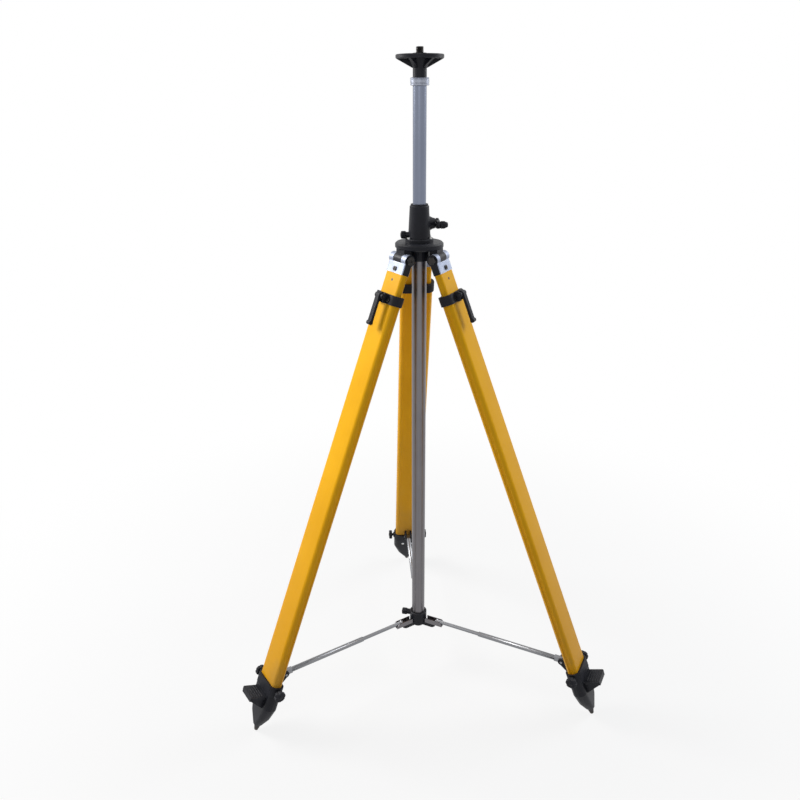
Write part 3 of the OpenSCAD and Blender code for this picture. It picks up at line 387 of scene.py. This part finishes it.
YELLOW = {leg: leg_lacquer(leg) for leg in LEGS}
ENAMEL = black_casting()
NYLON = black_moulding()
COLUMN_TUBE = drawn_tube("column_anodised", (0.170, 0.190, 0.250, 1), (0.205, 0.228, 0.292, 1), 0.26)
GUIDE_TUBE = drawn_tube("guide_tube_anodised", (0.150, 0.143, 0.152, 1), (0.205, 0.198, 0.208, 1), 0.28)
STRUT_DARK, STRUT_LIGHT = (0.215, 0.220, 0.235, 1), (0.285, 0.290, 0.305, 1)
STRUT = {leg: drawn_tube(f"strut_anodised_{leg}", STRUT_DARK, STRUT_LIGHT, 0.30, leg) for leg in LEGS}
ALLOY = bare_casting()
TURNED = turned_alloy()
ZINC = zinc_plate()
BLACKENED = blackened_steel()
SPIKE = spike_steel()
RUBBER = face_rubber()

# Every solid gets a skin of the same shape: merged, its sharp edges broken, smoothly shaded


def joined(mesh):
    """The mesh of a solid with its loose triangles merged and its flat faces made whole."""
    work = bmesh.new()
    work.from_mesh(mesh)
    bmesh.ops.remove_doubles(work, verts=work.verts, dist=1e-6)
    flat = math.radians(0.6)
    bmesh.ops.dissolve_limit(work, angle_limit=flat, verts=work.verts, edges=work.edges)
    whole = bpy.data.meshes.new(mesh.name + "_whole")
    work.to_mesh(whole)
    work.free()
    return whole


def shown(name, mesh, finish, body, slot, replaced=()):
    """Puts a finished mesh into the scene as a piece of the tripod."""
    mesh.materials.clear()
    mesh.materials.append(finish)
    piece = bpy.data.objects.new(name, mesh)
    bpy.context.scene.collection.objects.link(piece)
    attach(piece, body)
    if replaced:
        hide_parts(*replaced)
    return piece


def plain_mesh(source):
    """The plain mesh that an object's modifiers give; the object goes."""
    evaluated = source.evaluated_get(bpy.context.evaluated_depsgraph_get())
    mesh = bpy.data.meshes.new_from_object(evaluated)
    bpy.data.objects.remove(source)
    return mesh


def broken_edges(mesh, width, crease=30.0):
    """The mesh with its sharp edges broken by a narrow bevel, flats shaded flat and rounds smooth."""
    mesh.shade_smooth()
    if width:
        source = bpy.data.objects.new("edge_work", mesh)
        bpy.context.scene.collection.objects.link(source)
        bevel = source.modifiers.new("broken_edges", "BEVEL")
        bevel.width = width
        bevel.segments = 2
        bevel.limit_method = "ANGLE"
        bevel.angle_limit = math.radians(crease)
        bevel.use_clamp_overlap = True
        flats = source.modifiers.new("flat_faces", "WEIGHTED_NORMAL")
        flats.weight = 80
        return plain_mesh(source)
    mesh.set_sharp_from_angle(angle=math.radians(crease))
    return mesh


def skin(node, finish, width=0.0):
    """The node's own shape with its edges broken and its finish on."""
    mesh = broken_edges(joined(frame["nodes"][node].data), width)
    return shown("finished_" + node, mesh, finish, BODY_OF_NODE[node], SLOT_OF_NODE[node], [node])


def shade_painted_sides(piece, leg):
    """Black enamel put on the faces of a piece that look sideways from its leg: painted shade standing in
    for the shade on those faces.
    """
    across = on_leg(leg).to_3x3().col[1]
    sideways = 0.9
    # painted shade: faces turned sideways from the leg get black enamel, standing in for the shade they lie
    # in
    piece.data.materials.append(ENAMEL)
    for face in piece.data.polygons:
        if abs(face.normal.dot(across)) > sideways:
            face.material_index = 1


skin("head_casting", ENAMEL, 0.0008)
skin("gear_housing", ENAMEL, 0.0008)
skin("guide_tube", GUIDE_TUBE)
skin("guide_bush", NYLON, 0.0004)
skin("housing_screws", ZINC)
skin("leg_hinge_bolts", BLACKENED)
skin("spreader_hub", ENAMEL, 0.0006)
skin("strut_cradles", GUIDE_TUBE, 0.0004)
skin("hub_clamp_knob", NYLON)
skin("column_tube", COLUMN_TUBE)
skin("column_rack", ZINC)
skin("mount_plate", ENAMEL, 0.0008)
skin("drive_pinion", ZINC)
skin("crank_arm", ENAMEL, 0.0006)
skin("crank_knob", NYLON, 0.0004)
skin("column_lock_knob", NYLON)
for leg in LEGS:
    # painted shade: the bracket's sideways faces are painted black
    shade_painted_sides(skin(f"hinge_bracket_{leg}", ALLOY, 0.0008), leg)
    skin(f"bracket_screws_{leg}", BLACKENED)
    skin(f"inner_leg_{leg}", YELLOW[leg])
    skin(f"outer_leg_{leg}", YELLOW[leg])
    skin(f"clamp_collar_{leg}", NYLON, 0.0008)
    skin(f"collar_bolts_{leg}", BLACKENED)
    skin(f"clamp_lever_{leg}", NYLON, 0.0008)
    skin(f"foot_shoe_{leg}", ENAMEL, 0.0008)
    skin(f"foot_spike_{leg}", SPIKE)
    skin(f"strut_saddle_{leg}", NYLON, 0.0006)
    skin(f"saddle_knob_a_{leg}", NYLON)
    skin(f"saddle_knob_b_{leg}", NYLON)
    skin(f"strut_tube_{leg}", STRUT[leg])
    skin(f"strut_rod_{leg}", STRUT[leg])

# Small work that repeats: ribs, screws and knurls


class Making:
    """A geometry tree for what repeats. Its sizes are the tree's named inputs."""

    KINDS = {int: "NodeSocketInt", float: "NodeSocketFloat", "finish": "NodeSocketMaterial"}

    def __init__(self, name, **sizes):
        self.tree = bpy.data.node_groups.new(name, "GeometryNodeTree")
        self.keys = {}
        for size, kind in {**sizes, "finish": "finish"}.items():
            socket = self.tree.interface.new_socket(size, in_out="INPUT", socket_type=self.KINDS[kind])
            self.keys[size] = socket.identifier
        self.tree.interface.new_socket("shape", in_out="OUTPUT", socket_type="NodeSocketGeometry")
        self.sizes = self.tree.nodes.new("NodeGroupInput")
        self.end = self.tree.nodes.new("NodeGroupOutput")

    def node(self, kind, settings=None, sockets=None, output=0):
        made = self.tree.nodes.new(kind)
        for name, value in (settings or {}).items():
            setattr(made, name, value)
        for name, value in (sockets or {}).items():
            if isinstance(value, bpy.types.NodeSocket):
                self.tree.links.new(value, made.inputs[name])
            else:
                made.inputs[name].default_value = value
        return made.outputs[output]

    def size(self, name):
        return self.sizes.outputs[name]

    def sum(self, operation, first, second):
        return self.node("ShaderNodeMath", {"operation": operation}, {0: first, 1: second})

    def vector(self, x=0.0, y=0.0, z=0.0):
        return self.node("ShaderNodeCombineXYZ", None, {"X": x, "Y": y, "Z": z})

    def circle(self):
        """Points round the Z axis, from the tree's count and ring radius."""
        sockets = {"Vertices": self.size("count"), "Radius": self.size("ring_radius")}
        return self.node("GeometryNodeMeshCircle", None, sockets)

    def spread(self, points, shape):
        sockets = {"Points": points, "Instance": shape}
        self.close(self.node("GeometryNodeInstanceOnPoints", None, sockets))

    def close(self, shapes):
        whole = self.node("GeometryNodeRealizeInstances", None, {0: shapes})
        dressed = self.node("GeometryNodeSetMaterial", None, {0: whole, "Material": self.size("finish")})
        self.tree.links.new(dressed, self.end.inputs[0])

    def made(self, name, place, **sizes):
        """The plain mesh of one set of sizes, moved to its place."""
        source = bpy.data.objects.new(name, bpy.data.meshes.new(name))
        bpy.context.scene.collection.objects.link(source)
        tree = source.modifiers.new(name, "NODES")
        tree.node_group = self.tree
        for size, value in sizes.items():
            tree[self.keys[size]] = value
        mesh = plain_mesh(source)
        mesh.transform(place)
        mesh.shade_smooth()
        mesh.set_sharp_from_angle(angle=math.radians(35))
        return mesh


def row_of_ribs():
    """Half-sunk round ribs along X, set out in a row along Y about the middle."""
    tree = Making("row_of_ribs", count=int, pitch=float, length=float, rib_radius=float)
    half = tree.sum("MULTIPLY", tree.sum("SUBTRACT", tree.size("count"), 1.0), tree.size("pitch"))
    start = tree.vector(y=tree.sum("MULTIPLY", half, -0.5))
    step = tree.vector(y=tree.size("pitch"))
    points = tree.node(
        "GeometryNodeMeshLine",
        {"mode": "OFFSET"},
        {"Count": tree.size("count"), "Start Location": start, "Offset": step},
    )
    bar = tree.node(
        "GeometryNodeMeshCylinder",
        None,
        {"Vertices": 10, "Radius": tree.size("rib_radius"), "Depth": tree.size("length")},
    )
    laid = tree.node("GeometryNodeTransform", None, {0: bar, "Rotation": (0, math.pi / 2, 0)})
    tree.spread(points, laid)
    return tree


def ring_of_ribs():
    """Ribs along Z set out round the Z axis, for gripped rims."""
    tree = Making("ring_of_ribs", count=int, ring_radius=float, length=float, rib_radius=float)
    points = tree.circle()
    bar = tree.node(
        "GeometryNodeMeshCylinder",
        None,
        {"Vertices": 8, "Radius": tree.size("rib_radius"), "Depth": tree.size("length")},
    )
    tree.spread(points, bar)
    return tree


def ring_of_screws():
    """Round screw heads with a round recess, set out round the Z axis."""
    tree = Making("ring_of_screws", count=int, ring_radius=float, head_radius=float, head_height=float)
    points = tree.circle()
    half = tree.sum("MULTIPLY", tree.size("head_height"), 0.5)
    head = tree.tree.nodes.new("GeometryNodeMeshCylinder")
    tree.tree.links.new(tree.size("head_radius"), head.inputs["Radius"])
    tree.tree.links.new(tree.size("head_height"), head.inputs["Depth"])
    head.inputs["Vertices"].default_value = 18
    inset = tree.tree.nodes.new("GeometryNodeExtrudeMesh")
    tree.tree.links.new(head.outputs["Mesh"], inset.inputs["Mesh"])
    tree.tree.links.new(head.outputs["Top"], inset.inputs["Selection"])
    inset.inputs["Offset Scale"].default_value = 0.0
    crown = inset.outputs["Top"]
    sockets = {0: inset.outputs["Mesh"], "Selection": crown, "Scale": 0.5}
    narrowed = tree.node("GeometryNodeScaleElements", None, sockets)
    depth = tree.sum("MULTIPLY", half, -1.2)
    sockets = {"Mesh": narrowed, "Selection": crown, "Offset Scale": depth}
    sunk = tree.node("GeometryNodeExtrudeMesh", None, sockets)
    raised = tree.node("GeometryNodeTransform", None, {0: sunk, "Translation": tree.vector(z=half)})
    tree.spread(points, raised)
    return tree


RIB_ROW = row_of_ribs()
RIB_RING = ring_of_ribs()
SCREW_RING = ring_of_screws()

# Turned work


def rings_mesh(name, rings, closed=False):
    """Mesh of rings of points, each joined to the next; a ring of one point is a pole."""
    work = bmesh.new()
    rows = [[work.verts.new(point) for point in ring] for ring in rings]
    pairs = list(zip(rows, rows[1:]))
    if closed:
        pairs.append((rows[-1], rows[0]))
    for lower, upper in pairs:
        for step in range(max(len(lower), len(upper))):
            corners = [
                lower[step % len(lower)],
                lower[(step + 1) % len(lower)],
                upper[(step + 1) % len(upper)],
                upper[step % len(upper)],
            ]
            work.faces.new(dict.fromkeys(corners))
    bmesh.ops.recalc_face_normals(work, faces=work.faces)
    mesh = bpy.data.meshes.new(name)
    work.to_mesh(mesh)
    work.free()
    return mesh


def turned(name, profile, place, closed=False, sides=72, crease=32.0):
    """Profile of radius and height turned about Z and moved to its place."""
    rings = []
    for radius, height in profile:
        count = sides if radius else 1
        turns = [math.tau * step / count for step in range(count)]
        rings.append([(radius * math.cos(turn), radius * math.sin(turn), height) for turn in turns])
    mesh = rings_mesh(name, rings, closed)
    mesh.transform(place)
    mesh.shade_smooth()
    mesh.set_sharp_from_angle(angle=math.radians(crease))
    return mesh


def facing(point, axis):
    """Place at a point with Z along an axis."""
    return Matrix.Translation(point) @ Vector(axis).to_track_quat("Z", "Y").to_matrix().to_4x4()


def reach(node, point, axis):
    """How far a node's solid goes from a point along an axis."""
    return max((corner.co - point).dot(axis) for corner in frame["nodes"][node].data.vertices)


def threaded_stud():
    """The stud with its 5/8 inch thread, 11 to the inch, a lead-in at the top and a plain root."""
    low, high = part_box("mount_stud")
    pitch, outside, root = 0.0254 / 11, 0.0079375, 0.00635
    depth = 0.6 * pitch
    shoulder = 0.0225
    length = high.z - low.z
    lead, sides, steps = 0.0014, 48, 70
    turns = [math.tau * step / sides for step in range(sides)]

    def ring(radius_at, height):
        spokes = [(radius_at(turn), math.cos(turn), math.sin(turn)) for turn in turns]
        return [(radius * east, radius * north, height) for radius, east, north in spokes]

    def thread(height):
        taper = max(0.0, height - (length - lead))

        def radius_at(turn):
            phase = (height / pitch - turn / math.tau) % 1
            flank = min(1.0, max(0.0, abs(2 * phase - 1) * 1.25 - 0.125))
            return outside - taper - max(0.0, depth * flank - taper * 0.5)

        return radius_at

    rings = [[(0, 0, 0)], ring(lambda turn: root, 0), ring(lambda turn: root, shoulder)]
    for step in range(steps + 1):
        height = shoulder + (length - shoulder) * step / steps
        rings.append(ring(thread(height), height))
    rings.append([(0, 0, length)])
    mesh = rings_mesh("threaded_stud", rings)
    mesh.transform(upright(height=low.z))
    mesh.shade_smooth()
    mesh.set_sharp_from_angle(angle=math.radians(50))
    shown("threaded_stud", mesh, BLACKENED, "column", SLOT_OF_NODE["mount_stud"], ["mount_stud"])


def plate_collar():
    """Turned ring under the plate, with a groove near each end."""
    low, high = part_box("column_collar")
    outside, bore, tall = 0.019, 0.01402, high.z - low.z
    edge, groove, sunk = 0.0012, 0.0009, 0.0012
    profile = [(bore, 0), (outside - edge, 0), (outside, edge)]
    lower_groove, upper_groove = 0.0042, tall - 0.0030
    for middle in (lower_groove, upper_groove):
        profile += [(outside, middle - groove), (outside - sunk, middle - groove * 0.5)]
        profile += [(outside - sunk, middle + groove * 0.5), (outside, middle + groove)]
    profile += [(outside, tall - edge), (outside - edge, tall), (bore, tall)]
    mesh = turned("plate_collar", profile, upright(height=low.z), closed=True)
    shown("plate_collar", mesh, TURNED, "column", SLOT_OF_NODE["column_collar"], ["column_collar"])


def friction_ring():
    """Thin rubber ring round the plate's face."""
    top = RECORD["mounts"][1]["pos_m"][2]
    inner, outer, high = 0.034, 0.043, 0.0004
    edge = high * 0.4
    profile = [(inner, -high), (outer, -high), (outer, edge)]
    profile += [(outer - high, high), (inner + high, high), (inner, edge)]
    mesh = turned("friction_ring", profile, upright(height=top), closed=True, sides=96)
    shown("friction_ring", mesh, RUBBER, "column", "black_plastic")


def pinion_cover():
    """Round cover of the pinion case, held by four screws."""
    shaft = Vector(JOINTS["crank_turn"]["pos_m"])
    case_side = -0.014
    side = facing(Vector((case_side, shaft.y, shaft.z)), (-1, 0, 0))
    radius, thick, edge, screw_sink = 0.0132, 0.0022, 0.0007, 0.0004
    profile = [(0, -edge), (radius, -edge), (radius, thick - edge), (radius - edge, thick)]
    profile += [(radius * 0.56, thick), (radius * 0.52, thick + edge)]
    profile += [(radius * 0.30, thick + edge), (0, thick + edge * 1.4)]
    shown("pinion_cover", turned("pinion_cover", profile, side), ENAMEL, "head", "black_casting")
    ring = side @ Matrix.Translation((0, 0, thick - screw_sink))
    sizes = dict(count=4, ring_radius=radius * 0.78, head_radius=0.0018, head_height=0.0013, finish=ZINC)
    screws = SCREW_RING.made("pinion_cover_screws", ring, **sizes)
    shown("pinion_cover_screws", screws, ZINC, "head", "steel")


def crank_boss_cone():
    """Cone cast round the crank's boss on the gear housing."""
    shaft = Vector(JOINTS["crank_turn"]["pos_m"])
    bore, root, end = 0.009, 0.013, 0.035
    profile = [(bore, root), (0.0195, root), (0.020, 0.015), (0.012, 0.030), (0.0108, end), (bore, end)]
    place = facing(Vector((0, shaft.y, shaft.z)), (1, 0, 0))
    mesh = turned("crank_boss_cone", profile, place, closed=True)
    shown("crank_boss_cone", mesh, ENAMEL, "head", "black_casting")


def knob_cap(node, joint):
    """Domed cap pressed into the end of a knob."""
    point, axis = Vector(JOINTS[joint]["pos_m"]), Vector(JOINTS[joint]["axis"])
    end = facing(point + axis * reach(node, point, axis), axis)
    radius, dome = 0.0046, 0.0011
    profile = [(0, -dome), (radius, -dome), (radius, dome * 0.35)]
    profile += [(radius * 0.86, dome * 0.75), (radius * 0.5, dome), (0, dome * 1.1)]
    mesh = turned("cap_of_" + node, profile, end, sides=36)
    shown("cap_of_" + node, mesh, ENAMEL, BODY_OF_NODE[node], SLOT_OF_NODE[node])


def crank_knob_knurl():
    """Knurled band round the crank's knob."""
    point = Vector(JOINTS["crank_grip_spin"]["pos_m"])
    low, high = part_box("crank_knob")
    band_middle = 0.0059
    middle = Vector((low.x + band_middle, point.y, point.z))
    sizes = dict(count=26, ring_radius=0.0074, length=0.0078, rib_radius=0.0005, finish=NYLON)
    mesh = RIB_RING.made("crank_knob_knurl", facing(middle, (1, 0, 0)), **sizes)
    shown("crank_knob_knurl", mesh, NYLON, "crank_grip", "black_plastic")


ACROSS_ROW_ON_TOP = Matrix.Rotation(math.pi / 2, 4, "Z")
ACROSS_ROW_OUTSIDE = Matrix(((0, 0, 1, 0), (1, 0, 0, 0), (0, 1, 0, 0), (0, 0, 0, 1)))


def pedal_treads(leg):
    """Tread ribs across the pedal."""
    middle = Vector((0.036, 0, -(SHOE_TOP + PEDAL_BELOW_SHOE_TOP)))
    place = on_leg(leg) @ Matrix.Translation(middle) @ ACROSS_ROW_ON_TOP
    sizes = dict(count=5, pitch=0.006, length=0.040, rib_radius=0.0011, finish=ENAMEL)
    mesh = RIB_ROW.made(f"pedal_treads_{leg}", place, **sizes)
    shown(f"pedal_treads_{leg}", mesh, ENAMEL, f"leg_lower_{leg}", "black_casting")


def lever_grip(leg):
    """Grip ridges across the lever's outer face."""
    pin = on_leg(leg).inverted() @ Vector(JOINTS[f"lever_swing_{leg}"]["pos_m"])
    outer_face, below_pin = 0.0085, 0.040
    middle = pin + Vector((outer_face, 0, -below_pin))
    place = on_leg(leg) @ Matrix.Translation(middle) @ ACROSS_ROW_OUTSIDE
    sizes = dict(count=9, pitch=0.0036, length=0.0110, rib_radius=0.0007, finish=NYLON)
    mesh = RIB_ROW.made(f"lever_grip_{leg}", place, **sizes)
    shown(f"lever_grip_{leg}", mesh, NYLON, f"lever_{leg}", "black_plastic")


def shoe_rivets(leg):
    """Two domed rivets that hold the shoe to the leg, on its inner face."""
    radius, dome = 0.0042, 0.0018
    profile = [(0, -dome), (radius, -dome), (radius, 0)]
    profile += [(radius * 0.9, dome * 0.55), (radius * 0.55, dome * 0.9), (0, dome)]
    face, below_rim = -0.01652, 0.014
    inward = Matrix.Rotation(-math.pi / 2, 4, "Y")
    for side, across in (("left", -0.015), ("right", 0.015)):
        seat = Matrix.Translation((face, across, -(SHOE_TOP + below_rim)))
        name = f"shoe_rivet_{side}_{leg}"
        mesh = turned(name, profile, on_leg(leg) @ seat @ inward, sides=32)
        shown(name, mesh, ZINC, f"leg_lower_{leg}", "steel")


threaded_stud()
plate_collar()
friction_ring()
pinion_cover()
crank_boss_cone()
crank_knob_knurl()
knob_cap("hub_clamp_knob", "hub_lock_turn")
knob_cap("column_lock_knob", "column_lock_turn")
for leg in LEGS:
    pedal_treads(leg)
    lever_grip(leg)
    shoe_rivets(leg)
    for end in "ab":
        knob_cap(f"saddle_knob_{end}_{leg}", f"knob_{end}_turn_{leg}")

# Studio: pale floor, soft light, camera where the photograph was taken from


def studio_floor():
    side = 14.0
    work = bmesh.new()
    bmesh.ops.create_grid(work, x_segments=2, y_segments=2, size=side)
    mesh = bpy.data.meshes.new("studio_floor")
    work.to_mesh(mesh)
    work.free()
    floor = bpy.data.objects.new("studio_floor", mesh)
    bpy.context.scene.collection.objects.link(floor)
    paint = Finish("studio_floor_white")
    at = paint.place(centre=COLUMN_AXIS)
    away = paint.node("ShaderNodeVectorMath", {"operation": "LENGTH"}, {0: at}, "Value")
    paint.wear(Base_Color=(0.62, 0.62, 0.63, 1), Roughness=0.9)
    paint.shader.inputs["Specular IOR Level"].default_value = 0.0
    glow = paint.tree.nodes.new("ShaderNodeEmission")
    glow.inputs["Strength"].default_value = 1.0
    ray = paint.tree.nodes.new("ShaderNodeLightPath")
    seen = Flow(paint, ray.outputs["Is Camera Ray"]) + Flow(paint, ray.outputs["Is Glossy Ray"])
    seen = (seen + Flow(paint, ray.outputs["Is Transmission Ray"])).ramp(0.0, 1.0)
    share = seen * away.ramp(0.5, 1.7, 0.84, 1.0)
    mixed = paint.node("ShaderNodeMixShader", None, {0: share})
    mixer = mixed.socket.node
    paint.tree.links.new(paint.shader.outputs[0], mixer.inputs[1])
    paint.tree.links.new(glow.outputs[0], mixer.inputs[2])
    paint.tree.links.new(mixed.socket, paint.tree.nodes["Material Output"].inputs["Surface"])
    mesh.materials.append(paint.material)


def studio_world():
    world = bpy.data.worlds.new("studio_white")
    bpy.context.scene.world = world
    world.use_nodes = True
    tree = world.node_tree
    tree.nodes.clear()
    soft = tree.nodes.new("ShaderNodeBackground")
    soft.inputs["Color"].default_value = (0.93, 0.96, 1.0, 1)
    soft.inputs["Strength"].default_value = 0.26
    white = tree.nodes.new("ShaderNodeBackground")
    white.inputs["Color"].default_value = (1, 1, 1, 1)
    white.inputs["Strength"].default_value = 1.0
    ray = tree.nodes.new("ShaderNodeLightPath")
    seen = ray.outputs["Is Camera Ray"]
    for other in ("Is Glossy Ray", "Is Transmission Ray"):
        either = tree.nodes.new("ShaderNodeMath")
        either.operation = "MAXIMUM"
        tree.links.new(seen, either.inputs[0])
        tree.links.new(ray.outputs[other], either.inputs[1])
        seen = either.outputs[0]
    mixer = tree.nodes.new("ShaderNodeMixShader")
    surface = tree.nodes.new("ShaderNodeOutputWorld")
    tree.links.new(seen, mixer.inputs[0])
    tree.links.new(soft.outputs[0], mixer.inputs[1])
    tree.links.new(white.outputs[0], mixer.inputs[2])
    tree.links.new(mixer.outputs[0], surface.inputs["Surface"])


def studio_lamp(name, place, aim, size, watts, colour):
    lamp = bpy.data.lights.new(name, "AREA")
    lamp.shape = "DISK"
    lamp.size = size
    lamp.energy = watts
    lamp.color = colour
    holder = bpy.data.objects.new(name, lamp)
    holder.location = COLUMN_AXIS + Vector(place)
    holder.rotation_euler = (Vector(aim) - Vector(place)).to_track_quat("-Z", "Y").to_euler()
    bpy.context.scene.collection.objects.link(holder)


def studio_camera():
    """Eye height, distance, pan, downward tilt and slight roll, read off the photograph's own points."""
    turn, pan, tilt, roll = -0.0817, -0.0263, 0.3825, 0.0069
    eye = Matrix.Rotation(turn, 3, "Z") @ Vector((0, -1.657, 1.4016))
    ahead = Matrix.Rotation(turn, 3, "Z") @ Vector((math.sin(pan), math.cos(pan), 0))
    level = Vector((ahead.y, -ahead.x, 0))
    sight = ahead * math.cos(tilt) - Vector((0, 0, math.sin(tilt)))
    plumb = level.cross(sight)
    right = level * math.cos(roll) - plumb * math.sin(roll)
    up = level * math.sin(roll) + plumb * math.cos(roll)
    lens = bpy.data.cameras.new("studio_camera")
    picture, focal_pixels = 800, 771.4
    lens.sensor_width = 36
    lens.lens = lens.sensor_width * focal_pixels / picture
    camera = bpy.data.objects.new("studio_camera", lens)
    aim = Matrix((right, up, -sight)).transposed().to_4x4()
    camera.matrix_world = Matrix.Translation(COLUMN_AXIS + eye) @ aim
    bpy.context.scene.collection.objects.link(camera)
    bpy.context.scene.camera = camera


bpy.context.scene.view_settings.view_transform = "Standard"
studio_floor()
studio_world()
studio_lamp("left_lamp", (-2.3, 0.8, 2.3), (0, 0, 0.8), 1.3, 86, (1.0, 0.98, 0.95))
studio_lamp("right_lamp", (2.3, 0.8, 2.3), (0, 0, 0.8), 1.5, 46, (0.96, 0.98, 1.0))
studio_lamp("front_lamp", (-0.6, -2.6, 2.2), (0, 0, 0.8), 1.8, 9, (1, 1, 1))
studio_camera()
